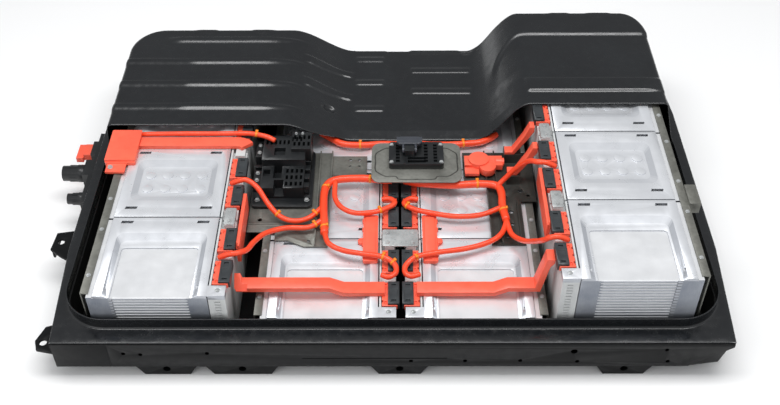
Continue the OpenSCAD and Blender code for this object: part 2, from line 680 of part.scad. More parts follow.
module right_frame() color("#6c6c64") in_case() difference() {
    union() {
        channel(221, 247, -254, 56);
        slab([246, -254, plate_z], [297, -54, frame_z]);
        slab([296, -115, plate_z], [334, -54, frame_z]);
        slab([246, -54, plate_z], [334, 56, frame_z]);
        slab([170, -44, plate_z], [222, 56, frame_z]);
        slab([268, 18, frame_z - 0.5], [308, 50, arm_seat]);
        slab([268, -58, frame_z - 0.5], [300, -32, arm_seat]);
        slab([243, 12, frame_z - 0.5], [259.5, 38, channel_z]);
        slab([286, -240, frame_z - 0.5], [290, -120, frame_z + 5]);
        pads([[234, -200], [234, 40], [280, -160], [280, 20], [200, 20]]);
    }
    for (p = [[258, -230, 4], [272, -190, 4], [272, -150, 5], [262, -100, 4], [300, -80, 6],
              [316, -96, 4], [186, -20, 4], [206, 8, 4]])
        translate([p[0], p[1], mid_top - 1]) cylinder(r = p[2], h = bracket_t + pad_h + 2);
    translate([252.5, 25, frame_z]) cylinder(r = 6, h = 20);
    slab([282, 22, frame_z + 12], [300, 60, frame_z + 20]);
}

// ---------------------------------------------------------------- junction box
jb_x = [-324, -184];
jb_y = [-140, 54];
jb_base_h = 8;
jb_z = frame_z + jb_base_h;
jb_low_h = 32;
jb_high_h = 62;
jb_step_y = -36;

module junction_base() color("#1d1f21") in_case() difference() {
    union() {
        translate([(jb_x[0] + jb_x[1]) / 2, (jb_y[0] + jb_y[1]) / 2, frame_z])
            linear_extrude(jb_base_h) rounded(jb_x[1] - jb_x[0], jb_y[1] - jb_y[0], 12);
        for (x = [jb_x[0] + 13, jb_x[1] - 13])
            translate([x, -115, frame_z]) cylinder(r = 12, h = jb_base_h);
        slab([-322, -92, frame_z], [-304, -20, jb_z + 22]);
        slab([-322, -6, frame_z], [-304, 50, jb_z + 34]);
    }
    for (x = [jb_x[0] + 13, jb_x[1] - 13]) translate([x, -115, frame_z + 3])
        cylinder(r = 8, h = 20);
    slab([-323, -40, jb_z + 8], [-303, -30, jb_z + 30]);
}

// The stepped lid, with its rows of vents and two deep pockets.
module junction_cover() color("#2b2e32") in_case() {
    low = jb_z + jb_low_h;
    high = jb_z + jb_high_h;
    difference() {
        union() {
            slab([-303, -112, jb_z], [-203, jb_step_y, low]);
            slab([-303, jb_step_y - 1, jb_z], [-203, 50, high - 10]);
            slab([-236, -10, jb_z], [-190, 50, high]);
            slab([-205, -100, jb_z], [-192, 30, low - 8]);
        }
        for (i = [0:8]) translate([-297 + i * 10, 18, high - 22]) cube([5, 16, 30]);
        for (i = [0:3], j = [0, 1]) translate([-232 + i * 11, 2 + j * 24, high - 12])
            cube([5.5, 14, 20]);
        for (i = [0:3], j = [0:2]) translate([-246 + i * 11, -104 + j * 22, low - 12])
            cube([5.5, 14, 20]);
        slab([-275, -78, low - 22], [-256, -36.5, low + 1]);
        slab([-299, -70, low - 14], [-283, -48, low + 1]);
        slab([-276, -20, high - 22], [-250, 6, high + 1]);
        slab([-272, -113, low - 26], [-250, -84, low + 1]);
        for (i = [0:2]) translate([-204, -84 + i * 30, low - 20]) cube([20, 12, 16]);
    }
}

module junction_bolts() in_case() {
    for (x = [jb_x[0] + 13, jb_x[1] - 13]) translate([x, -115, frame_z + 3]) bolt(6, 6);
    for (y = [-76, -52]) translate([-313, y, jb_z + 22]) bolt(5, 5);
    for (y = [8, 34]) translate([-313, y, jb_z + 34]) bolt(5, 4);
    for (x = [-227, -212]) translate([x, 44, jb_z + jb_high_h]) bolt(3.2, 5);
}

// ---------------------------------------------------------------- service plug
plug_x = 57;
plug_y = -20;
plug_r = 22;
plate_under = plug_plate_z - bracket_t;

module plug_bracket() color("#767772") in_case() translate([plug_x, plug_y, 0]) difference() {
    union() {
        translate([0, 0, plate_under]) linear_extrude(bracket_t)
            rounded(plug_plate_l, plug_plate_w, plug_r);
        for (side = [-1, 1]) {
            slab([side * (plug_plate_l / 2 - bracket_t / 2) - bracket_t / 2, -22, mid_top],
                 [side * (plug_plate_l / 2 - bracket_t / 2) + bracket_t / 2, 30, plate_under + 0.5]);
            slab([side * (plug_plate_l / 2 - 9) - 9, -22, mid_top],
                 [side * (plug_plate_l / 2 - 9) + 9, 30, mid_top + bracket_t]);
        }
    }
    translate([0, 15, plate_under - 1]) linear_extrude(3 * bracket_t) rounded(74, 50, 6);
    for (x = [-1, 1], y = [-1, 1]) translate([x * 58, 15 + y * 31, plate_under - 1])
        cylinder(r = 3, h = 3 * bracket_t);
}

// The plug's base: a moulded grille of ribs over a sunk floor, with two lugs
// whose trunnions carry the locking lever.
lever_x = -16;
lug_gap = 34;
lever_z = plug_base_h + 12;

module plug_base() color("#191b1d") in_case() translate([plug_x, plug_y + 15, plug_plate_z]) {
    difference() {
        linear_extrude(plug_base_h) rounded(plug_base_l, plug_base_w, 8);
        for (i = [0, 3, 4], j = [0:5]) translate([-48 + i * 22, -32 + j * 11, plug_base_h - 9])
            cube([9, 8, 12]);
        for (j = [0:1]) translate([-20, -34 + j * 11, plug_base_h - 9]) cube([42, 8, 12]);
        for (x = [-1, 1], y = [-1, 1]) translate([x * 58, y * 31, plug_base_h - 6])
            cylinder(r = 6.5, h = 10);
        for (x = [-1, 1], y = [-1, 1]) translate([x * 58, y * 31, -1]) cylinder(r = 3, h = 40);
    }
    translate([lever_x, 0, 0]) {
        slab([-lug_gap / 2 + lever_t + 1, -14, plug_base_h - 1],
             [lug_gap / 2 - lever_t - 1, 6, lever_z + trunnion_r + 3]);
        translate([0, -4, lever_z]) rotate([0, 90, 0])
            cylinder(r = trunnion_r, h = lug_gap + 1, center = true);
    }
}

// The locking lever swings up about its trunnions.
module plug_lever() color("#454b52") in_case()
    translate([plug_x + lever_x, plug_y + 15 - 4, plug_plate_z + lever_z]) {
        arm = 33;
        for (side = [-1, 1]) translate([side * (lug_gap / 2 - lever_t / 2), 0, 0]) difference() {
            union() {
                rotate([0, 90, 0]) cylinder(r = trunnion_r + 4, h = lever_t, center = true);
                slab([-lever_t / 2, 0, -4], [lever_t / 2, arm, 5]);
            }
            rotate([0, 90, 0]) cylinder(r = trunnion_r + pivot_gap, h = lever_t + 2, center = true);
        }
        translate([lug_gap / 2 - 17, arm - 1, 1]) rotate([0, 90, 0])
            linear_extrude(60, center = true) rounded(14, 20, 5);
    }

module plug_bolts() in_case() translate([plug_x, plug_y + 15, plug_plate_z + plug_base_h - 6])
    for (x = [-1, 1], y = [-1, 1]) translate([x * 58, y * 31, 0]) bolt(6, 7);

// ---------------------------------------------------------------- bus bars
duct_y = -385;
duct_high = mid_top + 20;
duct_low = mid_top + 6;

// A flat insulated bar, bent in its own plane; points are [x, z] of its middle.
module left_duct() in_case() translate([0, duct_y, 0]) {
    t = duct_t / 2;
    out = -outer_col_x + cap_out + fit_gap;
    difference() {
        rotate([90, 0, 0]) linear_extrude(duct_w, center = true) polygon([
            [-16, duct_low - t], [-16, duct_low + t], [-102, duct_low + t], [-132, duct_high + t],
            [out + 16, duct_high + t], [out + 8, left_top - 12], [out, left_top - 4],
            [out, duct_high - t + 6], [out + 6, duct_high - t], [-134, duct_high - t],
            [-104, duct_low - t]]);
        translate([out + 8, -duct_w / 2, left_top - 2]) rotate([-52, 0, 0])
            cube([40, 80, 60], center = true);
    }
}

module right_duct() in_case() translate([0, duct_y, 0]) {
    t = duct_t / 2;
    out = outer_col_x - cap_out - fit_gap;
    rotate([90, 0, 0]) linear_extrude(duct_w, center = true) polygon([
        [52, duct_low - t], [216, duct_low - t], [245, duct_high - t], [out - 22, duct_high - t],
        [out - 8, right_top - 30], [out, right_top - 18], [out, right_top - 8],
        [out - 16, right_top - 8], [out - 34, duct_high + t], [243, duct_high + t],
        [214, duct_low + t], [52, duct_low + t]]);
}

module bus_ducts() color("#f4512c") {
    left_duct();
    right_duct();
}

// Upright covers over the bus bars beside the outer columns' terminals.
module upright_cover(c, y0, y1, drop, t = 8) at_stack(c, 0, stack_h(c))
    translate([cap_out + fit_gap, 0, 0]) difference() {
        slab([0, y0, -drop], [t, y1, 2]);
        translate([-1, y1, 2]) rotate([-30, 0, 0]) cube([t + 2, 30, 30]);
        translate([-1, y0, 2]) rotate([45, 0, 0]) cube([t + 2, 14, 14], center = true);
    }

module upright_covers() color("#f4512c") {
    upright_cover(0, 140, 302, 48);
    upright_cover(3, 150, 330, 44);
}

// Flat guards over the links of the middle columns.
module guard() {
    rounded_l = 142;
    linear_extrude(10) rounded(33, rounded_l, 5);
    translate([-20, -8, 0]) cylinder(r = 8, h = 8);
    for (y = [-48, -20, 26, 52]) translate([-19, y, 0]) cube([6, 9, 6]);
    translate([0, 0, 9]) linear_extrude(3) rounded(23, rounded_l - 14, 4);
}

module guards() color("#f4512c") for (c = [1, 2]) at_stack(c, 0, stack_h(c))
    translate([-19, stack_w + stack_gap / 2 - 6, 0]) guard();

// Bent arms that drop from the right column's terminals to the cross frame.
module right_arms() color("#f4512c") in_case() {
    out = outer_col_x - cap_out - fit_gap;
    for (y = [-44, 30]) translate([0, y, 0]) rotate([90, 0, 0]) linear_extrude(22, center = true)
        polygon([[out - 64, arm_seat], [out - 42, arm_seat], [out - 14, right_top - 44],
                 [out, right_top - 18], [out, right_top - 4], [out - 11, right_top - 4],
                 [out - 23, right_top - 34], [out - 47, arm_seat + 8], [out - 64, arm_seat + 8]]);
}

// A moulded cover over the joint right of the service plug.
module bus_cover() color("#f4512c") in_case() {
    translate([0, 0, channel_z]) {
        slab([172, -14, 0], [262, 20, 15]);
        translate([206, 4, 0]) cylinder(r = 24, h = 21);
        translate([226, -18, 0]) cylinder(r = 19, h = 17);
        slab([172, -36, 0], [206, -12, 8]);
        translate([256, 3, 10]) rotate([0, 90, 0]) cylinder(r = 10, h = 20, center = true);
    }
}

// ---------------------------------------------------------------- inlet
inlet_h = 15;
inlet_duct_t = 10;
inlet_z = left_top + fit_gap;

module inlet_cover() color("#f4512c") in_case() difference() {
    union() {
        translate([-627, -5, inlet_z]) linear_extrude(inlet_h) rounded(70, 110, 4);
        slab([-656, -88, inlet_z], [-612, -58, inlet_z + 6]);
        slab([-662, -56, inlet_z - 30], [-650, 46, inlet_z + 1]);
    }
    translate([-646, -74, inlet_z - 1]) cylinder(r = 3, h = 20);
    slab([-663, -70, inlet_z + 9], [-590, -57, inlet_z + 20]);
}

module inlet_bolt() in_case() translate([-646, -74, inlet_z + 6]) bolt(6, 5);

module small_bolts() color("#c9ccce") {
    junction_bolts();
    plug_bolts();
    inlet_bolt();
}

// A flat duct with a bend in plan: x of its start and of the bend, y of its
// two edges, inner radius of the bend and the direction where it ends.
inlet_duct_x = [-591, -364];
inlet_duct_y = [-2, 29];
bend_r = 16;
bend_end = 38;
module inlet_duct() color("#f4512c") in_case() translate([0, 0, inlet_z]) {
    pivot = [inlet_duct_x[1], inlet_duct_y[0] - bend_r];
    width = inlet_duct_y[1] - inlet_duct_y[0];
    step = (90 - bend_end) / 8;
    linear_extrude(inlet_duct_t) polygon(concat(
        [[inlet_duct_x[0], inlet_duct_y[0]], [inlet_duct_x[0], inlet_duct_y[1]]],
        [for (a = [90:-step:bend_end - 1]) pivot + (bend_r + width) * [cos(a), sin(a)]],
        [for (a = [bend_end:step:91]) pivot + bend_r * [cos(a), sin(a)]]));
    for (x = [-560, -500, -440, -400]) slab([x, 28, 2], [x + 8, 31, 8]);
}

// ---------------------------------------------------------------- cables
// A cable is a tube swept along its route's points, round numbers in the case's
// own frame; each ring stands square to the route's mean direction there.
SIDES = 10;
function unit(v) = v / norm(v);
function heading(p, k) = unit(k == 0 ? p[1] - p[0]
    : k == len(p) - 1 ? p[k] - p[k - 1] : unit(p[k] - p[k - 1]) + unit(p[k + 1] - p[k]));
function ring(p, k, r) = let (d = heading(p, k), s = unit(cross([0, 0, 1], d)), u = cross(d, s))
    [for (a = [0:SIDES - 1]) p[k] + r * (cos(a * 360 / SIDES) * s + sin(a * 360 / SIDES) * u)];

module tube(route, r) {
    n = len(route);
    polyhedron([for (k = [0:n - 1]) each ring(route, k, r)], concat(
        [[for (a = [0:SIDES - 1]) a]],
        [for (k = [0:n - 2], a = [0:SIDES - 1]) let (b = (a + 1) % SIDES)
            [k * SIDES + a, (k + 1) * SIDES + a, (k + 1) * SIDES + b, k * SIDES + b]],
        [[for (a = [SIDES - 1:-1:0]) (n - 1) * SIDES + a]]));
}

LEFT_TRUNK = [[0, -62, 150], [-70, -56, 152], [-125, -58, 152], [-148, -72, 152],
              [-156, -100, 152], [-156, -150, 151], [-152, -200, 151], [-150, -236, 150]];
LEFT_BRANCHES = [
    [[-366, -117, 191], [-346, -117, 200], [-328, -117, 202], [-304, -130, 190], [-278, -160, 166],
     [-250, -184, 151], [-218, -192, 146], [-186, -182, 147], [-166, -160, 150]],
    [[-366, -347, 191], [-346, -347, 200], [-326, -344, 202], [-308, -326, 193], [-298, -288, 178],
     [-278, -244, 160], [-236, -218, 150], [-186, -214, 148], [-164, -204, 150]],
    [[-150, -232, 150], [-139, -266, 150], [-108, -286, 149], [-62, -296, 148],
     [-20, -304, 147], [4, -320, 143], [8, -342, 141], [-6, -356, 140], [-24, -350, 140]],
    [[-132, -66, 152], [-131, -118, 150], [-116, -150, 149], [-86, -168, 148],
     [-48, -166, 147], [-14, -150, 144], [6, -130, 142], [-4, -114, 140], [-24, -113, 138]]];
RIGHT_TRUNK = [[28, -62, 150], [70, -74, 152], [140, -80, 152], [206, -74, 152],
               [242, -80, 152], [252, -104, 152], [251, -150, 152], [256, -196, 151]];
RIGHT_BRANCHES = [
    [[60, -113, 138], [40, -114, 140], [28, -132, 142], [50, -152, 144], [90, -168, 147],
     [144, -180, 148], [200, -176, 149], [246, -158, 152]],
    [[258, -192, 150], [242, -236, 150], [212, -262, 149], [162, -280, 148], [98, -292, 148],
     [52, -304, 147], [30, -324, 143], [28, -344, 141], [40, -354, 140], [60, -348, 140]],
    [[256, -194, 151], [264, -240, 152], [286, -276, 168], [306, -312, 204], [316, -338, 234],
     [328, -346, 250], [346, -347, 252], [366, -347, 242]],
    [[244, -84, 153], [262, -76, 170], [286, -78, 205], [308, -94, 238], [323, -112, 252],
     [342, -117, 254], [366, -117, 242]]];
INLET_CABLE = [[-591, 40, 206], [-500, 42, 206], [-400, 42, 206], [-357, 41, 208],
               [-330, 39, 208], [-298, 34, 204], [-276, 24, 200]];

module left_harness() color("#ff4a20") in_case() {
    tube(LEFT_TRUNK, trunk_r);
    for (b = LEFT_BRANCHES) tube(b, branch_r);
}

module right_harness() color("#ff4a20") in_case() {
    tube(RIGHT_TRUNK, trunk_r);
    for (b = RIGHT_BRANCHES) tube(b, branch_r);
}

module inlet_cable() color("#ff4a20") in_case() tube(INLET_CABLE, branch_r);

// ---------------------------------------------------------------- left end
end_x = -case_l / 2;
big_y = 40;
small_y = -51;

module connector_bracket() color("#1f2123") in_case() difference() {
    union() {
        slab([end_x - 12, -84, foot_h + 30], [end_x, 168, rail_top + 2]);
        slab([end_x - 28, big_y - 28, foot_h + 34], [end_x - 10, big_y + 28, rail_top + 2]);
        slab([end_x - 24, 92, foot_h + 40], [end_x - 10, 140, rail_top]);
    }
    for (y = [-76, 76, 156]) translate([end_x - 13, y, rail_top - 12]) rotate([0, 90, 0])
        cylinder(r = 4, h = 14);
}

module collar_plug(r, from, to) translate([from, 0, 0]) rotate([0, -90, 0]) difference() {
    union() {
        cylinder(r = r, h = from - to);
        cylinder(r = r + 2.5, h = (from - to) * 0.3);
        for (a = [0:45:315]) rotate([0, 0, a]) translate([r - 1, -2, 0])
            cube([2.5, 4, (from - to) * 0.7]);
    }
    translate([0, 0, (from - to) - 12]) cylinder(r = r - 4, h = 13);
}

module large_connector() color("#202225") in_case() translate([0, big_y, plug_axis_z])
    collar_plug(big_plug_r, end_x - 28, end_x - connector_reach);

module small_connector() color("#202225") in_case() translate([0, small_y, plug_axis_z])
    collar_plug(small_plug_r, end_x - 12, end_x - 50);

module flat_connector() color("#f4512c") in_case() difference() {
    union() {
        slab([end_x - 44, 96, plug_axis_z - 6], [end_x - 24, 136, plug_axis_z + 12]);
        slab([end_x - 62, 90, plug_axis_z - 8], [end_x - 44, 142, plug_axis_z + 6]);
    }
    slab([end_x - 63, 96, plug_axis_z - 4], [end_x - 52, 136, plug_axis_z + 2]);
}

// Welded ears that bolt the pack under the car.
ear_hole = [[end_x - 29, -204], [end_x - 8, -478]];
module ears() color("#2b2d30") in_case() difference() {
    union() {
        translate([0, 0, ear_z - ear_t]) linear_extrude(ear_t) polygon([
            [end_x, -168], [end_x - 44, -176], [end_x - 48, -228], [end_x - 20, -250], [end_x, -262]]);
        translate([end_x - 44, -232, ear_z - 22]) cube([ear_t, 54, 20]);
        translate([0, 0, ear_z - 20 - ear_t]) linear_extrude(ear_t) polygon([
            [end_x + 12, -428], [end_x - 12, -436], [end_x - 26, -474], [end_x - 18, -498],
            [end_x + 20, -506]]);
    }
    for (p = ear_hole) translate([p[0], p[1], ear_z - 40]) cylinder(r = ear_hole_r, h = 60);
    translate([0, 0, foot_h]) linear_extrude(rail_h + 1) polygon(case_outline(0));
}

// ---------------------------------------------------------------- nodes
STACKS = [for (c = [0:3], r = [0:3]) str(COLUMN[c], "_stack_", r + 1)];

for (c = [0:3], r = [0:3])
    cell_stack(c, r);
lower_case();
near_rail();
far_rail();
feet();
gasket();
upper_cover();
column_plates(0);  // left_top_plates
column_plates(1);  // mid_left_top_plates
column_plates(2);  // mid_right_top_plates
column_plates(3);  // right_top_plates
caps();  // terminal_caps
links();
left_bracket();
mid_left_bracket();
mid_right_bracket();
right_bracket();
left_frame();  // left_cross_frame
right_frame();  // right_cross_frame
junction_base();
junction_cover();
plug_bracket();
plug_base();
plug_lever();
guards();
right_arms();  // right_bus_arms
bus_cover();
inlet_cover();
inlet_duct();
left_harness();
right_harness();
inlet_cable();
connector_bracket();
large_connector();
small_connector();
flat_connector();
ears();  // mounting_ears
end_rails();
terminal_frames();
terminal_holders();
flange_bolts();
small_bolts();
bus_ducts();
upright_covers();
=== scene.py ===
"""Looks of the cut-away traction battery pack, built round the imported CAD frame.

Lengths are in millimetres in the case's own frame, where x = 0 is the middle of
the case, and at() turns them into metres in the row frame.
"""
import json
import math
import random

import bmesh
import bpy
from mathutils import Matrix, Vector, noise

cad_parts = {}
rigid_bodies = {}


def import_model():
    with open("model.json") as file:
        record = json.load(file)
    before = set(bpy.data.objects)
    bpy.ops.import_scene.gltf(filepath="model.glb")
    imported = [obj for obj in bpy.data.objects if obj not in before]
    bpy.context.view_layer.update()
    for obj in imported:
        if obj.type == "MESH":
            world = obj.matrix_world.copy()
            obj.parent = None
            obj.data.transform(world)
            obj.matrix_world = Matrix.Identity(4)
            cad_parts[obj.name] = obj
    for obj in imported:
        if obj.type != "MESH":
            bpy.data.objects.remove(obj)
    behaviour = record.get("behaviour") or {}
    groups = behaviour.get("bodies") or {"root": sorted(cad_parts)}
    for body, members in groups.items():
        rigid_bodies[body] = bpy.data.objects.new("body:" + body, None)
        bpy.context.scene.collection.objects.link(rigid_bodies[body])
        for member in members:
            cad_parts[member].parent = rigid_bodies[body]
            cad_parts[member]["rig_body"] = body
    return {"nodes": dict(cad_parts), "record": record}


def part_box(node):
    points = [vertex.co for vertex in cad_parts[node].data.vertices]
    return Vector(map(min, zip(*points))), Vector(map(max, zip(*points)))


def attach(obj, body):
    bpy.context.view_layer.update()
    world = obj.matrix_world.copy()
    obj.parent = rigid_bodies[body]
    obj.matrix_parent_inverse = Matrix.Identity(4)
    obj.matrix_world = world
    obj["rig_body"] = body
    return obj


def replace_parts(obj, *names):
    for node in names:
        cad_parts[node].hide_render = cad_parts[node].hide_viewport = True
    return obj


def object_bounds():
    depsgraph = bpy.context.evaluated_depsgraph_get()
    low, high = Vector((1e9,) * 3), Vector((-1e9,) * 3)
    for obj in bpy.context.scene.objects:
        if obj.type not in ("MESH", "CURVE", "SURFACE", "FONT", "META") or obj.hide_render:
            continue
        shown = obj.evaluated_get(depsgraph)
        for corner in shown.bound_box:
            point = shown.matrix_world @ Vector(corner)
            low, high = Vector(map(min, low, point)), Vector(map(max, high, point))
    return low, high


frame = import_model()
cad_box = [list(corner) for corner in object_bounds()]
NODES = frame["nodes"]
MM = 0.001
RNG = random.Random(7)

case_low, case_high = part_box("lower_case")
CASE_MID = (case_low.x + case_high.x) / 2 / MM


def at(x, y, z):
    """A point of the case's frame, in metres in the row frame."""
    return Vector(((x + CASE_MID) * MM, y * MM, z * MM))


def span(node):
    """A node's lowest and highest corner in the case's frame, in millimetres."""
    low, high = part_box(node)
    shift = Vector((CASE_MID, 0, 0))
    return low / MM - shift, high / MM - shift


# ------------------------------------------------------------------ materials
RIB_PITCH = 8.5
POST_SHARE = 0.185


def linear(hex_colour):
    """Scene-linear RGBA of a colour written as on a screen, such as 'fb6f55'."""
    channels = [int(hex_colour[i:i + 2], 16) / 255 for i in (0, 2, 4)]
    return [c / 12.92 if c <= 0.04045 else ((c + 0.055) / 1.055) ** 2.4 for c in channels] + [1.0]


class Surface:
    """A Principled material that is built up with noise, grain and wear."""

    def __init__(self, name, colour, metallic=0.0, roughness=0.5, specular=0.5):
        self.material = bpy.data.materials.new(name)
        self.material.use_nodes = True
        self.tree = self.material.node_tree
        self.shader = self.tree.nodes["Principled BSDF"]
        self.shader.inputs["Base Color"].default_value = linear(colour)
        self.shader.inputs["Metallic"].default_value = metallic
        self.shader.inputs["Roughness"].default_value = roughness
        self.shader.inputs["Specular IOR Level"].default_value = specular
        self.colour = linear(colour)
        self.colour_link = None
        self.height = None
        self.coords = self.node("ShaderNodeTexCoord").outputs["Object"]

    def node(self, kind, **values):
        made = self.tree.nodes.new(kind)
        for key, value in values.items():
            setattr(made, key, value)
        return made

    def link(self, source, target):
        self.tree.links.new(source, target)

    def noise(self, scale, detail=4.0, stretch=(1, 1, 1), roughness=0.55):
        """Noise with so many waves a metre, stretched along the axes."""
        mapping = self.node("ShaderNodeMapping")
        mapping.inputs["Scale"].default_value = stretch
        self.link(self.coords, mapping.inputs["Vector"])
        made = self.node("ShaderNodeTexNoise")
        made.inputs["Scale"].default_value = scale
        made.inputs["Detail"].default_value = detail
        made.inputs["Roughness"].default_value = roughness
        self.link(mapping.outputs["Vector"], made.inputs["Vector"])
        return made.outputs["Fac"]

    def spread(self, source, low, high, low_in=0.3, high_in=0.7):
        """Maps a 0 to 1 value to low to high."""
        made = self.node("ShaderNodeMapRange")
        for key, value in (("From Min", low_in), ("From Max", high_in), ("To Min", low), ("To Max", high)):
            made.inputs[key].default_value = value
        self.link(source, made.inputs["Value"])
        return made.outputs["Result"]

    def tint(self, mask, colour, strength=1.0):
        """Lays another colour over the present one where the mask is high."""
        mix = self.node("ShaderNodeMix", data_type="RGBA")
        if self.colour_link:
            self.link(self.colour_link, mix.inputs[6])
        else:
            mix.inputs[6].default_value = self.colour
        mix.inputs[7].default_value = linear(colour)
        scaled = self.spread(mask, 0.0, strength, 0.0, 1.0)
        self.link(scaled, mix.inputs[0])
        self.colour_link = mix.outputs[2]
        return self

    def rough(self, source, low, high, low_in=0.3, high_in=0.7):
        self.link(self.spread(source, low, high, low_in, high_in), self.shader.inputs["Roughness"])
        return self

    def bump(self, source, depth, strength=1.0):
        """Adds relief: depth in millimetres for the source's full range."""
        made = self.node("ShaderNodeBump")
        made.inputs["Strength"].default_value = strength
        made.inputs["Distance"].default_value = depth * MM
        self.link(source, made.inputs["Height"])
        if self.height:
            self.link(self.height, made.inputs["Normal"])
        self.height = made.outputs["Normal"]
        return self

    def facing_up(self):
        """How far the surface faces straight up or down, 0 to 1."""
        split = self.node("ShaderNodeSeparateXYZ")
        self.link(self.node("ShaderNodeNewGeometry").outputs["True Normal"], split.inputs[0])
        return self.math("ABSOLUTE", split.outputs["Z"])

    def height_mm(self):
        split = self.node("ShaderNodeSeparateXYZ")
        self.link(self.node("ShaderNodeNewGeometry").outputs["Position"], split.inputs[0])
        return self.math("MULTIPLY", split.outputs["Z"], 1000)

    def math(self, operation, first, second=0.0):
        made = self.node("ShaderNodeMath", operation=operation)
        self.link(first, made.inputs[0])
        if isinstance(second, (int, float)):
            made.inputs[1].default_value = second
        else:
            self.link(second, made.inputs[1])
        return made.outputs[0]

    def done(self):
        if self.colour_link:
            self.link(self.colour_link, self.shader.inputs["Base Color"])
        if self.height:
            self.link(self.height, self.shader.inputs["Normal"])
        return self.material


def coated_steel(name, colour, light, roughness, specular):
    """Black coated steel: orange-peel relief, dusty patches, paler worn edges."""
    made = Surface(name, colour, roughness=roughness, specular=specular)
    patches = made.noise(9, 5)
    made.tint(made.spread(patches, 0, 1, 0.42, 0.75), light, 0.55)
    edges = made.node("ShaderNodeNewGeometry").outputs["Pointiness"]
    made.tint(made.spread(edges, 0, 1, 0.53, 0.62), light, 0.7)
    made.rough(made.noise(55, 3), roughness - 0.07, roughness + 0.09)
    made.bump(made.noise(420, 2), 0.006, 0.03)
    made.bump(made.noise(9, 2), 0.5, 0.12)
    return made.done()


def pressed_aluminium(name, colour, dark, roughness, along=(1, 14, 1), flank_shade=None, upright_and_rib_shade=False):
    """Bright sheet with faint rolling lines and smudges, with painted shade on its tilted flanks and, on
    the cells, painted shade on the upright faces and in the rib grooves.
    """
    made = Surface(name, colour, metallic=0.5, roughness=roughness)
    # Painted shade: faces that tilt away from straight up, such as the dish flanks, are tinted a darker
    # blue-grey.
    if flank_shade:
        flank_shade_mask = made.spread(made.facing_up(), 1, 0, 0.86, 0.985)
        made.tint(flank_shade_mask, flank_shade, 0.6)
    # Painted shade: upright faces tinted a darker grey, lighter between the end posts, and the rib grooves
    # tinted dark once every rib pitch. The upright faces also turn darker towards the bottom.
    if upright_and_rib_shade:
        side = made.spread(made.facing_up(), 1, 0, 0.2, 0.5)
        level = made.height_mm()
        made.tint(side, "7b818c", 1.0)
        wave = made.math("SINE", made.math("MULTIPLY", level, 2 * math.pi / RIB_PITCH))
        split = made.node("ShaderNodeSeparateXYZ")
        made.link(made.node("ShaderNodeTexCoord").outputs["Generated"], split.inputs[0])
        share = split.outputs["X"]
        left_post = made.spread(share, 0, 1, POST_SHARE - 0.005, POST_SHARE + 0.005)
        right_post = made.spread(share, 1, 0, 1.005 - POST_SHARE, 1.015 - POST_SHARE)
        between = made.math("MULTIPLY", left_post, right_post)
        made.tint(made.math("MULTIPLY", side, between), "a8acb4", 1.0)
        groove_shade = made.math("MULTIPLY", between, made.spread(wave, 0, 1, -0.1, 0.7))
        made.tint(made.math("MULTIPLY", side, groove_shade), "3c3f45", 0.75)
        made.tint(made.math("MULTIPLY", side, made.spread(level, 1, 0, 20, 190)), "4d5159", 0.7)
    clouds = made.noise(11, 5)
    made.tint(made.spread(clouds, 0, 1, 0.4, 0.75), dark, 0.35)
    lines = made.noise(90, 2, along)
    made.tint(made.spread(lines, 0, 1, 0.3, 1.0), dark, 0.15)
    made.rough(made.noise(26, 3), roughness - 0.05, roughness + 0.08)
    made.bump(lines, 0.02, 0.12)
    made.bump(made.noise(22, 2), 0.2, 0.15)
    return made.done()


def moulded_plastic(name, colour, light, dark, roughness, grain=1400):
    """Moulded plastic: fine spark grain, slow colour drift and handling shine."""
    made = Surface(name, colour, roughness=roughness, specular=0.5)
    drift = made.noise(16, 3)
    made.tint(made.spread(drift, 0, 1, 0.45, 0.8), light, 0.4)
    made.tint(made.spread(made.noise(70, 4), 0, 1, 0.5, 0.85), dark, 0.35)
    made.rough(made.noise(120, 3), roughness - 0.06, roughness + 0.08)
    made.bump(made.noise(grain, 2), 0.04, 0.3)
    return made.done()


def dull_steel(name, colour, dark, pale, roughness):
    """Zinc-coated sheet steel: mottled spangle, drawing marks and dull spots."""
    made = Surface(name, colour, metallic=0.45, roughness=roughness)
    spangle = made.node("ShaderNodeTexVoronoi")
    spangle.inputs["Scale"].default_value = 130
    made.link(made.coords, spangle.inputs["Vector"])
    made.tint(made.spread(spangle.outputs["Distance"], 0, 1, 0.1, 0.7), pale, 0.35)
    made.tint(made.spread(made.noise(22, 5), 0, 1, 0.42, 0.7), dark, 0.6)
    made.rough(made.noise(60, 4), roughness - 0.08, roughness + 0.12)
    made.bump(made.noise(420, 3, (1, 5, 1)), 0.04, 0.4)
    return made.done()


def cable_sheath(name, colour, light, dark):
    """Cable sheath: a waxy sheen with slight ripples."""
    made = Surface(name, colour, roughness=0.38, specular=0.5)
    made.shader.inputs["Coat Weight"].default_value = 0.15
    made.tint(made.spread(made.noise(30, 3), 0, 1, 0.45, 0.8), light, 0.5)
    made.tint(made.spread(made.noise(190, 3), 0, 1, 0.55, 0.85), dark, 0.3)
    made.rough(made.noise(90, 3), 0.32, 0.48)
    made.bump(made.noise(260, 2), 0.12, 0.3)
    return made.done()


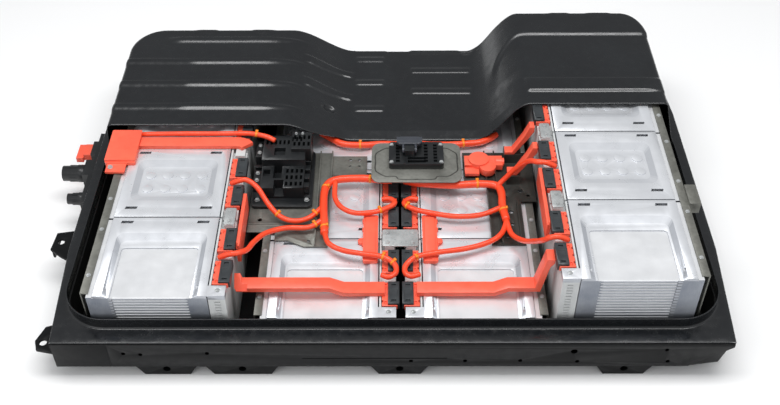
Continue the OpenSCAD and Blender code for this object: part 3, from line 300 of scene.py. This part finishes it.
MATERIALS = {
    "cover_coat": coated_steel("cover_coat", "131518", "1b1e21", 0.22, 0.68),
    "coated_steel": coated_steel("coated_steel", "090a0b", "121315", 0.4, 0.17),
    "gasket_rubber": moulded_plastic("gasket_rubber", "111213", "1e2022", "0a0b0b", 0.7),
    # Cells: painted shade on the upright faces and in the rib grooves.
    "cell_shell": pressed_aluminium("cell_shell", "f1f2f4", "d8dade", 0.34, (14, 1, 1), upright_and_rib_shade=True),
    # Plates: painted shade in a darker blue-grey on their tilted flanks.
    "pressed_aluminium": pressed_aluminium("pressed_aluminium", "e9ebef", "c6c9cf", 0.30, flank_shade="7d838e"),
    "white_plastic": moulded_plastic("white_plastic", "c6c8c8", "d8dad9", "a6a9a9", 0.48),
    "orange_plastic": moulded_plastic("orange_plastic", "f9634a", "ff7c5c", "e34c2a", 0.34),
    "orange_cable": cable_sheath("orange_cable", "f6471f", "ff6440", "dc3c18"),
    "tie_plastic": moulded_plastic("tie_plastic", "f58a1e", "ffa238", "d8700f", 0.4),
    "cap_plastic": moulded_plastic("cap_plastic", "2f3336", "42474a", "202325", 0.40),
    "bright_steel": dull_steel("bright_steel", "b9bcbc", "8d9090", "d4d6d6", 0.28),
    # Painted shade: a darker copy of grey_steel for the right cross frame, which lies in shadow.
    "shaded_frame_steel": dull_steel("shaded_frame_steel", "3e3e3a", "2f2f2c", "4f4f4a", 0.42),
    "plug_steel": dull_steel("plug_steel", "85857f", "62625c", "9d9d96", 0.40),
    # Painted shade: a dark copy of the steel for the plug bracket's bead, standing for the shade in its
    # pressed groove.
    "groove_shade_steel": dull_steel("groove_shade_steel", "4b4b47", "383835", "5e5e59", 0.45),
    "lever_plastic": moulded_plastic("lever_plastic", "3c3f46", "4a4d55", "2d3035", 0.36),
    "grey_steel": dull_steel("grey_steel", "74746e", "54544f", "8e8e87", 0.40),
    "black_plastic": moulded_plastic("black_plastic", "16181a", "26292c", "0e0f10", 0.36),
}
# Slot of each node, as the record names it.
SLOT = {entry["node"]: entry["material_slot"] for entry in frame["record"]["subparts"]}


# --------------------------------------------------------------------- pieces
def dress(obj, slot, body="pack", smooth=True, look=None):
    """Gives a piece its material slot and lets it ride on a body."""
    obj.data.materials.clear()
    obj.data.materials.append(MATERIALS[look or slot])
    if smooth and obj.type == "MESH":
        obj.data.shade_smooth()
    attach(obj, body)
    return obj


def piece(name, mesh):
    obj = bpy.data.objects.new(name, mesh)
    bpy.context.scene.collection.objects.link(obj)
    return obj


def from_bmesh(name, build):
    mesh = bpy.data.meshes.new(name)
    build.to_mesh(mesh)
    build.free()
    return piece(name, mesh)


def carve(obj, shapes):
    """Takes prisms, each a bottom and a top outline of case points, out of a piece."""
    build = bmesh.new()
    for bottom, top in shapes:
        low = [build.verts.new(at(*p)) for p in bottom]
        high = [build.verts.new(at(*p)) for p in top]
        build.faces.new(low[::-1])
        build.faces.new(high)
        for k in range(len(low)):
            nxt = (k + 1) % len(low)
            build.faces.new((low[k], low[nxt], high[nxt], high[k]))
    bmesh.ops.recalc_face_normals(build, faces=build.faces)
    cutter = from_bmesh("cutter", build)
    cut = obj.modifiers.new("cut", "BOOLEAN")
    cut.object = cutter
    cut.operation = "DIFFERENCE"
    cut.solver = "EXACT"
    bpy.context.view_layer.update()
    mesh = bpy.data.meshes.new_from_object(obj.evaluated_get(bpy.context.evaluated_depsgraph_get()))
    obj.modifiers.remove(cut)
    obj.data = mesh
    bpy.data.objects.remove(cutter)


def softened(node, width=0.6, angle=30, segments=2, look=None, cuts=None):
    """A copy of a CAD solid with its faces joined up and its edges rounded."""
    obj = piece(node + "_soft", NODES[node].data.copy())
    work = bmesh.new()
    work.from_mesh(obj.data)
    bmesh.ops.remove_doubles(work, verts=work.verts, dist=1e-5)
    bmesh.ops.dissolve_limit(work, angle_limit=math.radians(0.6), verts=work.verts, edges=work.edges)
    work.to_mesh(obj.data)
    work.free()
    if cuts:
        carve(obj, cuts)
    bevel = obj.modifiers.new("edges", "BEVEL")
    bevel.width = width * MM
    bevel.segments = segments
    bevel.limit_method = "ANGLE"
    bevel.angle_limit = math.radians(angle)
    bevel.harden_normals = True
    body = NODES[node]["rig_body"]
    dress(obj, SLOT[node], body, look=look)
    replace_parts(obj, node)
    return obj


for node, obj in NODES.items():
    obj.data.materials.clear()
    obj.data.materials.append(MATERIALS[SLOT[node]])


# ---------------------------------------------------------------------- cover
HALF_L = (case_high.x - case_low.x) / 2 / MM
HALF_W = (case_high.y - case_low.y) / 2 / MM
SHELL_X = HALF_L - 32
SHELL_Y = HALF_W - 40
CORNER_R = 95
ARC_X = SHELL_X - CORNER_R
ARC_Y = SHELL_Y - CORNER_R
COVER_Z = span("upper_cover")[0].z
SHEET = 2.5
LIP_Z = 135
LEFT_Z, MIDDLE_Z, HUMP_Z = 215, 144, 256.6
BACK_STEP = 6.5
FLANK_ROUNDING = 0.035


def smooth(t):
    s = min(1.0, max(0.0, t))
    return s * s * (3 - 2 * s)


def strip(v, start, end, rise, fall):
    """1 between start and end, falling smoothly to 0 outside them."""
    return min(smooth((v - start) / rise + 1), smooth((end - v) / fall + 1))


def pressed(v, start, end, rise, fall):
    """Like strip(), with straight flanks and a small rounding at both ends of each."""
    s = min(1.0, max(0.0, min((v - start) / rise + 1, (end - v) / fall + 1)))
    return s - FLANK_ROUNDING * math.sin(2 * math.pi * s)


def base_z(x):
    if x < 18:
        return LEFT_Z + (MIDDLE_Z - LEFT_Z) * smooth((x + 262) / 166)
    return MIDDLE_Z + (HUMP_Z - MIDDLE_Z) * smooth((x - 200) / 130)


def cut_y(x):
    """Where the cover is cut away, along the case."""
    return 66 + 34 * smooth((x + 216) / 106) - 8 * smooth((x - 206) / 76)


def left_beads(x, y):
    """Long raised beads of the left deck, thin at the left and pointed at the right."""
    total = 0
    for near, start in ((131, -690), (223, -690), (317, -690), (411, -556)):
        tip = smooth((-236 - x) / 90)
        height = (0.7 + 0.3 * smooth((x + 520) / 12)) if start < -600 else 1
        along = height * strip(x, start, -250, 34, 40) * (0.25 + 0.75 * tip)
        total += 6.0 * along * pressed(y, near, near + 4 + 8 * tip, 11 + tip, 6)
    return total


def ramp_beads(x, y):
    """The two beads that carry on down the ramp."""
    total = 0
    for near, far in ((338, 362), (242, 268)):
        start = near + 9 * smooth((x + 190) / 70)
        total += 4.4 * strip(x, -206, -108, 26, 8) * pressed(y, start, far, 7, 7)
    return total


def middle_ribs(x, y):
    """Creases and stepped ribs of the low middle deck."""
    total = -1.6 * strip(x, -14, 45, 3, 3)
    for near in (207, 316, 418):
        total += 3.4 * strip(x, -92, -22, 5, 3) * pressed(y, near, near + 12, 6, 12)
    for near in (279, 368):
        total += 3.4 * strip(x, 52, 203, 3, 5) * pressed(y, near, near + 12, 6, 12)
    total += 1.0 * strip(x, 52, 210, 3, 8) * strip(y, 437, 450, 3, 3)
    total += 1.8 * strip(x, 52, 176, 3, 8) * pressed(y, 461, 490, 4, 3)
    total += 2.4 * strip(x, 186, 219, 4, 4) * pressed(y, 448, 455, 5, 4)
    total += 0.9 * strip(x, -104, -99, 2, 2) * smooth((y - 110) / 20)
    return total


def cut_flange(x, y):
    """The strip that slopes down to the cut edge of the middle deck."""
    return -6.5 * strip(x, -110, 262, 40, 40) * (1 - min(1, max(0, (y - cut_y(x) - 2) / 28)))


def hump_shape(x, y):
    """The hump's raised back, which runs round a bend and down the ramp."""
    bend_x, bend_y, bend_r = 352, 286, 90
    if x >= bend_x:
        outside = y - (bend_y + bend_r)
    else:
        outside = math.hypot(x - bend_x, max(0, y - bend_y)) - bend_r
    fade = smooth((x - 236) / 40) * (1 if x >= bend_x else smooth((y - 250) / 70))
    back = BACK_STEP * smooth(outside / 14 + 0.5) * fade
    hollow = -3.5 * strip(x, 268, 306, 26, 26) * strip(y, 240, 320, 50, 40)
    bead = 6 * strip(x, 331, 610, 9, 70) * pressed(y, 144, 186, 9, 9)
    return back + hollow * smooth((BACK_STEP - back) / BACK_STEP) + bead


def dimple(x, y):
    """A round hollow on the ramp."""
    d = math.hypot((x + 158) / 1.2, y - 190)
    return -8 * (1 - smooth((d - 6) / 9))


def crest_pads(x, y):
    """Short pads pressed over the far edge."""
    pads = sum(strip(x, a, b, 5, 5) for a, b in ((-515, -466), (-369, -318), (413, 458), (519, 565)))
    return 2.0 * pads * smooth((y - 440) / 12)


def deck_z(x, y):
    wave = 0.5 * noise.noise(Vector((x / 130, y / 130, 3)))
    return (base_z(x) + left_beads(x, y) + ramp_beads(x, y) + middle_ribs(x, y) + cut_flange(x, y)
            + hump_shape(x, y) + dimple(x, y) + crest_pads(x, y) + wave - 0.5)


def end_inset(side):
    return (0.2 if side < 0 else 0.3) * (base_z(side * SHELL_X) - COVER_Z)


def crest_inset(x):
    """Width of the rounded edge along the far side, less beyond the left deck."""
    return 11 - 7 * smooth((x + 250) / 150)


def even_steps(low, high, step):
    count = max(1, round((high - low) / step))
    return [low + (high - low) * k / count for k in range(count)]


def cover_columns():
    """Deck columns as (x, y of the far end, outline point, normal, lean).

    The lean is how far the wall comes in between the outline and the deck, as a
    vector, so that a steep end wall turns smoothly into the upright far wall.
    """
    columns = []
    steps = 18
    for side in (-1, 1):
        arc = []
        for k in range(steps + 1):
            angle = math.pi / 2 * k / steps
            normal = (side * math.cos(angle), math.sin(angle))
            lean = (end_inset(side) * normal[0], crest_inset(side * ARC_X) * normal[1])
            outline = (side * ARC_X + CORNER_R * normal[0], ARC_Y + CORNER_R * normal[1])
            arc.append((outline[0] - lean[0], outline[1] - lean[1], outline, normal, lean))
        columns.append(arc)
    # Finer steps where the deck drops, creases or rises: (from, to, step).
    stretches = ((-ARC_X + 8, -268, 12), (-268, -92, 4.5), (-92, -30, 7), (-30, 60, 3.5),
                 (60, 170, 12), (170, 350, 4.5), (350, ARC_X - 8, 12))
    middle = [(x, SHELL_Y - crest_inset(x), (x, SHELL_Y), (0, 1), (0, crest_inset(x)))
              for a, b, step in stretches for x in even_steps(a, b, step)]
    return columns[0] + middle + columns[1][::-1]


FOLD_Y = 340
ROW_END = 452
ROWS = [118 + 2.25 * k for k in range(int((ROW_END - 118) / 2.25) + 1)]


def row_places(x, end):
    """Places of the deck's rows in one column, from the cut edge to the far crest."""
    cut = cut_y(x)
    first = cut + 2.4
    near = [cut, cut + 0.8] + [first + (ROWS[0] - first) * k / 7 for k in range(7)]
    scale = (end - FOLD_Y) / (ROW_END + 3 - FOLD_Y)
    return near + [y if y <= FOLD_Y else FOLD_Y + (y - FOLD_Y) * scale for y in ROWS] + [end]


def flange_edge(x):
    return HALF_L - 19 * max(0, abs(x) - 240) / (HALF_W - 240)


def flange_point(point, normal):
    corner = abs(normal[0]) > 0.01 and abs(normal[1]) > 0.01
    reach = 100 if corner else 40
    y = max(-HALF_W, min(HALF_W, point[1] + reach * normal[1]))
    x = max(-flange_edge(y), min(flange_edge(y), point[0] + reach * normal[0]))
    return x, y


def wall_pads(point, normal, z):
    """Outward pads on the two end walls, above the flange."""
    if abs(normal[0]) < 0.99:
        return 0
    side_pads = ((120, 176), (255, 310)) if normal[0] > 0 else ((150, 200), (280, 330))
    along = max(strip(point[1], a, b, 7, 7) for a, b in side_pads)
    return 2.2 * along * strip(z, 128, 176, 8, 14)


def profile(entry, top, low_wall):
    """Points across the sheet from the flange's edge to the deck, in order."""
    point, normal, lean = entry
    foot = COVER_Z + SHEET
    fx, fy = flange_point(point, normal)
    points = [(fx, fy, foot - 0.6), (fx + (point[0] - fx) * 0.04, fy + (point[1] - fy) * 0.04, foot)]
    for share in (0.35, 0.7):
        points.append((fx + (point[0] - fx) * share, fy + (point[1] - fy) * share, foot))
    fillet = 5
    for a in (0, 30, 60, 90):
        out = fillet * (1 - math.sin(math.radians(a)))
        points.append((point[0] + out * normal[0], point[1] + out * normal[1],
                       foot + fillet * (1 - math.cos(math.radians(a)))))
    if low_wall:
        for share in (0.25, 0.5, 0.75, 0.93, 1.0):
            z = foot + fillet + (LIP_Z - foot - fillet) * share
            points.append((point[0], point[1], z))
        return points
    inset = math.hypot(*lean)
    radius = min(12, inset * 0.85)
    start = top[2] - radius
    for k in range(1, 9):
        share = k / 8
        z = foot + fillet + (start - foot - fillet) * share
        out = wall_pads(point, normal, z)
        back = (1 - radius / inset) * share
        points.append((point[0] + out * normal[0] - back * lean[0],
                       point[1] + out * normal[1] - back * lean[1], z))
    for a in (15, 30, 45, 60, 75):
        s, c = math.sin(math.radians(a)), math.cos(math.radians(a))
        back = 1 - radius * c / inset
        points.append((point[0] - back * lean[0], point[1] - back * lean[1], start + radius * s))
    return points


def cover():
    columns = cover_columns()
    build = bmesh.new()
    grid = []
    for x, end, *_ in columns:
        places = row_places(x, end)
        drop = [3.0, 1.0, 0.2] + [0] * len(places)
        grid.append([(x, y, deck_z(x, y) - d) for y, d in zip(places, drop)])
    last = len(grid[0]) - 1
    verts = [[build.verts.new(at(*p)) for p in line] for line in grid]
    for i in range(len(verts) - 1):
        for j in range(last):
            build.faces.new((verts[i][j], verts[i + 1][j], verts[i + 1][j + 1], verts[i][j + 1]))
    far = [((-SHELL_X, grid[0][j][1]), (-1, 0), columns[0][4], 0, j) for j in range(last)]
    far += [(c[2], c[3], c[4], i, last) for i, c in enumerate(columns)]
    end = len(columns) - 1
    far += [((SHELL_X, grid[end][j][1]), (1, 0), columns[end][4], end, j) for j in range(last - 1, -1, -1)]
    strips = []
    for point, normal, lean, i, j in far:
        line = profile((point, normal, lean), grid[i][j], False)
        strips.append([build.verts.new(at(*p)) for p in line] + [verts[i][j]])
    near = [((SHELL_X, y), (1, 0)) for y in even_steps(cut_y(SHELL_X) - 4, -ARC_Y, -22)]
    for side in (1, -1):
        arc = []
        for k in range(19):
            angle = math.pi / 2 * k / 18
            normal = (side * math.cos(angle), -math.sin(angle))
            arc.append(((side * ARC_X + CORNER_R * normal[0], -ARC_Y + CORNER_R * normal[1]), normal))
        near += arc if side > 0 else arc[::-1]
        if side > 0:
            near += [((x, -SHELL_Y), (0, -1)) for x in even_steps(ARC_X - 30, -ARC_X + 30, 40)]
    near += [((-SHELL_X, y), (-1, 0)) for y in even_steps(-ARC_Y + 22, cut_y(-SHELL_X), 22)]
    near_strips = []
    for point, normal in near:
        line = profile((point, normal, (0, 0)), None, True)
        near_strips.append([build.verts.new(at(*p)) for p in line])
    for one, two in zip(strips, strips[1:]):
        for k in range(len(one) - 1):
            quad = (one[k], one[k + 1], two[k + 1], two[k])
            if len(set(quad)) == 4:
                build.faces.new(quad)
    for one, two in zip(near_strips, near_strips[1:]):
        for k in range(len(one) - 1):
            build.faces.new((one[k], one[k + 1], two[k + 1], two[k]))
    for joined, other in ((strips[-1], near_strips[0]), (near_strips[-1], strips[0])):
        for k in range(10):
            build.faces.new((joined[k], joined[k + 1], other[k + 1], other[k]))
    bmesh.ops.recalc_face_normals(build, faces=build.faces)
    obj = from_bmesh("cover_sheet", build)
    thick = obj.modifiers.new("sheet", "SOLIDIFY")
    thick.thickness = SHEET * MM * 0.9
    thick.offset = -1
    dress(obj, "cover_coat")
    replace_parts(obj, "upper_cover")
    return obj


cover()

# --------------------------------------------------------------------- cables
def smoothed(points, steps=7):
    """A Catmull-Rom curve through the points."""
    p = [Vector(q) for q in points]
    p = [2 * p[0] - p[1]] + p + [2 * p[-1] - p[-2]]
    curve = []
    for a, b, c, d in zip(p, p[1:], p[2:], p[3:]):
        for k in range(steps):
            t = k / steps
            curve.append(0.5 * (2 * b + (c - a) * t + (2 * a - 5 * b + 4 * c - d) * t * t
                                + (3 * b - a - 3 * c + d) * t ** 3))
    return curve + [p[-2]]


def sweep(build, curve, radii, sides=18):
    """Sweeps a round section along a curve of case points and closes both ends."""
    rings = []
    up = Vector((0, 0, 1))
    for k, point in enumerate(curve):
        ahead = curve[min(k + 1, len(curve) - 1)] - curve[max(k - 1, 0)]
        ahead.normalize()
        across = up.cross(ahead).normalized()
        up = ahead.cross(across).normalized()
        radius = radii(k) if callable(radii) else radii
        rings.append([build.verts.new(at(*(point + radius * (math.cos(a) * across + math.sin(a) * up))))
                      for a in (2 * math.pi * s / sides for s in range(sides))])
    for one, two in zip(rings, rings[1:]):
        for s in range(sides):
            build.faces.new((one[s], one[(s + 1) % sides], two[(s + 1) % sides], two[s]))
    build.faces.new(rings[0][::-1])
    build.faces.new(rings[-1])


def cable(build, points, radius):
    """A cable whose sheath ripples slightly and tapers into its seal at both ends."""
    curve = smoothed(points)
    last = len(curve) - 1
    wave = RNG.uniform(0, 6)

    def section(k):
        end = min(k, last - k)
        seal = -0.5 if end == 0 else 0
        return radius + seal + 0.12 * math.sin(0.9 * k + wave)
    sweep(build, curve, section)
    return curve


def tie(build, curve, share, radius):
    """A cable tie: a flat band with a small square head."""
    k = max(1, min(len(curve) - 2, int(share * (len(curve) - 1))))
    middle = curve[k]
    ahead = (curve[k + 1] - curve[k - 1]).normalized()
    band = [middle + ahead * s for s in (-2.6, -2.4, 2.4, 2.6)]
    sweep(build, band, lambda j: radius + (1.0 if j in (1, 2) else 0.2), 20)
    side = Vector((0, 0, 1)).cross(ahead).normalized()
    up = ahead.cross(side)
    head = middle + (up * 0.8 + side * 0.6).normalized() * (radius + 2)
    block(build, head, ahead * 3.4, side * 2.6, up * 2.4)


def block(build, middle, ax, ay, az):
    """A box from its middle and three half edges, in case points."""
    corners = [build.verts.new(at(*(middle + ax * i + ay * j + az * k)))
               for i in (-1, 1) for j in (-1, 1) for k in (-1, 1)]
    for quad in ((0, 1, 3, 2), (4, 6, 7, 5), (0, 4, 5, 1), (2, 3, 7, 6), (0, 2, 6, 4), (1, 5, 7, 3)):
        build.faces.new([corners[q] for q in quad])


LEFT_ROUTES = [
    (9, [(0, -62, 150), (-70, -56, 151), (-125, -58, 149.6), (-148, -72, 149.6), (-156, -100, 150),
         (-156, -150, 151), (-152, -200, 151), (-150, -236, 150)], (0.12, 0.52, 0.93)),
    (6, [(-366, -117, 191), (-346, -117, 200), (-328, -117, 202), (-304, -130, 190),
         (-278, -160, 166), (-250, -184, 151), (-218, -192, 146), (-186, -182, 147),
         (-158, -150, 150)], (0.6, 0.93)),
    (6, [(-366, -347, 191), (-346, -347, 200), (-326, -344, 202), (-308, -326, 193),
         (-298, -288, 178), (-278, -244, 160), (-236, -218, 150), (-186, -214, 148),
         (-156, -194, 151)], (0.93,)),
    (6, [(-150, -232, 150), (-139, -266, 150), (-108, -286, 149), (-62, -296, 148),
         (-20, -304, 147), (4, -320, 143), (8, -342, 141), (-6, -356, 140), (-24, -350, 140)],
     (0.5, 0.62)),
    (6, [(-132, -66, 152), (-131, -118, 150), (-116, -150, 149), (-86, -168, 148),
         (-48, -166, 147), (-14, -150, 144), (6, -130, 142), (-4, -114, 140), (-24, -113, 138)],
     (0.58,)),
]
RIGHT_ROUTES = [
    (9, [(28, -62, 150), (70, -74, 152), (140, -80, 152), (206, -74, 149.6), (242, -80, 149.6),
         (252, -104, 149.6), (251, -150, 150), (256, -196, 151)], (0.42, 0.9)),
    (8, [(-176, 128, 136.5), (-156, 112, 136.5), (-140, 99, 136.5), (-125, 88, 136.5),
         (-100, 82, 136.5), (-60, 80, 138), (-30, 79, 141.5), (18, 78, 141.5), (66, 79, 141.5),
         (100, 80, 138.5), (150, 83, 136.5), (190, 87, 136.5), (212, 90, 136.5),
         (228, 97, 136.5), (244, 108, 136.5), (258, 122, 136.5)], (0.31, 0.71)),
    (6, [(60, -113, 138), (40, -114, 140), (28, -132, 142), (50, -152, 144), (90, -168, 147),
         (144, -180, 148), (200, -176, 149), (249, -154, 152)], (0.36,)),
    (6, [(258, -192, 150), (242, -236, 150), (212, -262, 149), (162, -280, 148), (98, -292, 148),
         (52, -304, 147), (30, -324, 143), (28, -344, 141), (40, -354, 140), (60, -348, 140)],
     (0.56,)),
    (6, [(256, -194, 151), (264, -240, 152), (286, -276, 168), (306, -312, 204), (316, -338, 234),
         (328, -346, 250), (346, -347, 252), (366, -347, 242)], ()),
    (6, [(244, -84, 153), (262, -76, 170), (286, -78, 205), (308, -94, 238), (323, -112, 252),
         (342, -117, 254), (366, -117, 242)], ()),
]
INLET_ROUTES = [
    (6, [(-591, 40, 206), (-500, 42, 206), (-400, 42, 206), (-357, 41, 208), (-330, 39, 208),
         (-298, 34, 204), (-276, 24, 200)], (0.72,)),
]


def harness(node, routes):
    build, ties = bmesh.new(), bmesh.new()
    for radius, points, shares in routes:
        curve = cable(build, points, radius)
        for share in shares:
            tie(ties, curve, share, radius)
    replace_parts(dress(from_bmesh(node + "_sheath", build), "orange_cable"), node)
    dress(from_bmesh(node + "_ties", ties), "orange_plastic", look="tie_plastic")


harness("left_harness", LEFT_ROUTES)
harness("right_harness", RIGHT_ROUTES)
harness("inlet_cable", INLET_ROUTES)


# ------------------------------------------------------- rounded CAD solids
# The plates' slots: places from the plate's far end and from its near edge, row
# by row, and a slanted outline.
SLOT_STEPS = (32.5, 198)
SLOT_PLACES = ((26, 213.5), (28.5, 213.5), (28.5, 213.5), (13.5, 201))
SLOT_OUTLINE = ((-14, -4), (12, -4), (14, 4), (-12, 4))
SLOT_DEPTH = 3.2


def plate_slots(node, side):
    """Slanted slots over the plates' punched ones, which they take in."""
    low, high = span(node)
    far_x = low.x if side < 0 else high.x
    first = round(span("left_stack_1")[0].y, 1)
    pitch = round(span("left_stack_2")[0].y - first, 1)
    shapes = []
    for row, places in enumerate(SLOT_PLACES):
        for step in SLOT_STEPS:
            for place in places:
                x, y = far_x - side * step, first + pitch * row + place
                bottom, top = ([(x + u, y + v, z) for u, v in SLOT_OUTLINE]
                               for z in (high.z - SLOT_DEPTH, high.z + 2))
                shapes.append((bottom, top))
    return shapes


for node, side in (("left_top_plates", -1), ("mid_left_top_plates", -1),
                   ("mid_right_top_plates", 1), ("right_top_plates", 1)):
    softened(node, 0.6, 38, 2, cuts=plate_slots(node, side))
for node in ("junction_base", "junction_cover", "plug_base", "terminal_caps"):
    softened(node, 1.0)
softened("plug_lever", 1.6, 30, 3, look="lever_plastic")
for node in ("terminal_holders", "guards", "bus_cover", "inlet_cover", "inlet_duct",
             "upright_covers", "bus_ducts", "right_bus_arms", "flat_connector"):
    softened(node, 0.9)
for node in ("links", "left_bracket", "mid_left_bracket", "mid_right_bracket", "right_bracket",
             "left_cross_frame", "mounting_ears"):
    softened(node, 0.6)
# Painted shade: the right cross frame takes the darker, shaded copy of the steel.
softened("right_cross_frame", 0.6, look="shaded_frame_steel")
softened("plug_bracket", 0.6, look="plug_steel")
for node in ("flange_bolts", "small_bolts"):
    softened(node, 0.35)
for node in ("near_rail", "far_rail", "end_rails", "feet", "lower_case", "connector_bracket",
             "large_connector", "small_connector", "terminal_frames"):
    softened(node, 0.8)

def bracket_bead():
    """The bead pressed round the plug bracket, which steps in at its corners, coloured dark as painted
    shade in its groove.
    """
    low, high = span("plug_bracket")
    mid_x, mid_y = (low.x + high.x) / 2, (low.y + high.y) / 2
    reach_x, reach_y = (high.x - low.x) / 2, (high.y - low.y) / 2
    rim, step_in = 9, 19
    quarter = [(0, reach_y - rim), (reach_x - 66, reach_y - rim), (reach_x - 56, reach_y - step_in),
               (reach_x - 34, reach_y - step_in), (reach_x - 18, reach_y - 30),
               (reach_x - rim, reach_y - 42), (reach_x - rim, 0)]
    build = bmesh.new()
    for sx in (-1, 1):
        for sy in (-1, 1):
            path = smoothed([(mid_x + sx * x, mid_y + sy * y, high.z - 0.4) for x, y in quarter], 5)
            sweep(build, path, 1.7, 10)
    dress(from_bmesh("plug_bracket_bead", build), SLOT["plug_bracket"], look="groove_shade_steel")


def lever_grip():
    """The rounded pad on the lever's free end."""
    low, high = span("plug_lever")
    x0, x1, y0, y1, z0, z1 = low.x + 0.5, high.x - 0.5, high.y - 27, high.y - 0.5, high.z - 9, high.z - 0.3
    radius = 10
    outline = []
    for k in range(32):
        angle = 2 * math.pi * (k + 0.5) / 32
        c, s = math.cos(angle), math.sin(angle)
        outline.append(((x1 - radius if c > 0 else x0 + radius) + radius * c,
                        (y1 - radius if s > 0 else y0 + radius) + radius * s))
    build = bmesh.new()
    rings = []
    for inset, z in ((0, z0), (0, z1 - 2), (0.6, z1 - 0.6), (2, z1)):
        mx, my = (x0 + x1) / 2, (y0 + y1) / 2
        fx, fy = 1 - 2 * inset / (x1 - x0), 1 - 2 * inset / (y1 - y0)
        rings.append([build.verts.new(at(mx + (x - mx) * fx, my + (y - my) * fy, z)) for x, y in outline])
    for one, two in zip(rings, rings[1:]):
        for k in range(32):
            build.faces.new((one[k], one[(k + 1) % 32], two[(k + 1) % 32], two[k]))
    build.faces.new(rings[0][::-1])
    build.faces.new(rings[-1])
    dress(from_bmesh("plug_lever_grip", build), SLOT["plug_lever"], NODES["plug_lever"]["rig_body"],
          look="lever_plastic")


def rail_end():
    """The near rail's folded right end, which turns back towards the case's corner."""
    end = span("near_rail")[1].x
    low = [(-96, -508.4), (-90, -508.4), (-24, -499), (-24, -470), (-96, -470)]
    high = [(-96, -508.4), (-14, -508.4), (-8, -499), (-8, -470), (-96, -470)]
    build = bmesh.new()
    bottom = [build.verts.new(at(end + x, y, 30.6)) for x, y in low]
    top = [build.verts.new(at(end + x, y, 93)) for x, y in high]
    build.faces.new(bottom[::-1])
    build.faces.new(top)
    for k in range(5):
        nxt = (k + 1) % 5
        build.faces.new((bottom[k], bottom[nxt], top[nxt], top[k]))
    bmesh.ops.recalc_face_normals(build, faces=build.faces)
    obj = from_bmesh("near_rail_end", build)
    edges = obj.modifiers.new("edges", "BEVEL")
    edges.width = 1.5 * MM
    edges.segments = 3
    edges.limit_method = "ANGLE"
    edges.harden_normals = True
    dress(obj, SLOT["near_rail"])


bracket_bead()
lever_grip()
rail_end()

# -------------------------------------------------------------------- studio
def floor():
    size = 14
    mesh = bpy.data.meshes.new("floor")
    half = size / 2
    mesh.from_pydata([(-half, -half, 0), (half, -half, 0), (half, half, 0), (-half, half, 0)], [],
                     [(0, 1, 2, 3)])
    obj = piece("floor", mesh)
    obj.location.z = cad_box[0][2] - 0.0005
    made = bpy.data.materials.new("floor")
    made.use_nodes = True
    shader = made.node_tree.nodes["Principled BSDF"]
    shader.inputs["Base Color"].default_value = (0.97, 0.97, 0.97, 1)
    shader.inputs["Roughness"].default_value = 0.9
    shader.inputs["Specular IOR Level"].default_value = 0.1
    obj.data.materials.append(made)


def lamp(name, place, aim, size, watts):
    data = bpy.data.lights.new(name, "AREA")
    data.shape = "RECTANGLE"
    data.size, data.size_y = size
    data.energy = watts
    obj = bpy.data.objects.new(name, data)
    bpy.context.scene.collection.objects.link(obj)
    obj.location = place
    obj.rotation_euler = (Vector(aim) - Vector(place)).to_track_quat("-Z", "Y").to_euler()


def studio():
    """A white sky that is darker behind the pack, one long overhead softbox and
    a smaller one from the camera's left."""
    world = bpy.data.worlds.new("studio")
    bpy.context.scene.world = world
    world.use_nodes = True
    tree = world.node_tree
    coords = tree.nodes.new("ShaderNodeTexCoord")
    split = tree.nodes.new("ShaderNodeSeparateXYZ")
    level = tree.nodes.new("ShaderNodeMapRange")
    level.inputs["From Min"].default_value = 0.15
    level.inputs["From Max"].default_value = 0.75
    level.inputs["To Min"].default_value = 0.60
    level.inputs["To Max"].default_value = 0.30
    tree.links.new(coords.outputs["Generated"], split.inputs[0])
    tree.links.new(split.outputs["Y"], level.inputs["Value"])
    tree.links.new(level.outputs["Result"], tree.nodes["Background"].inputs["Strength"])
    tree.nodes["Background"].inputs["Color"].default_value = (0.97, 0.985, 1, 1)
    lamp("overhead", (0.05, -0.2, 2.7), (0.05, -0.15, 0), (3.2, 0.9), 62)
    lamp("front_left", (-1.9, -2.2, 1.9), (0, 0, 0.1), (1.6, 1.2), 8)


def camera():
    """The viewing angle of a person who stands in front of the cut-away half."""
    data = bpy.data.cameras.new("camera")
    data.sensor_width = 36
    data.lens = 47.26
    data.clip_end = 50
    obj = bpy.data.objects.new("camera", data)
    bpy.context.scene.collection.objects.link(obj)
    obj.location = (0.0391, -1.8283, 1.7629)
    obj.rotation_euler = (math.radians(90 - 43.63), math.radians(0.11), math.radians(0.01))
    bpy.context.scene.camera = obj


floor()
studio()
camera()
bpy.context.scene.view_settings.view_transform = "Standard"
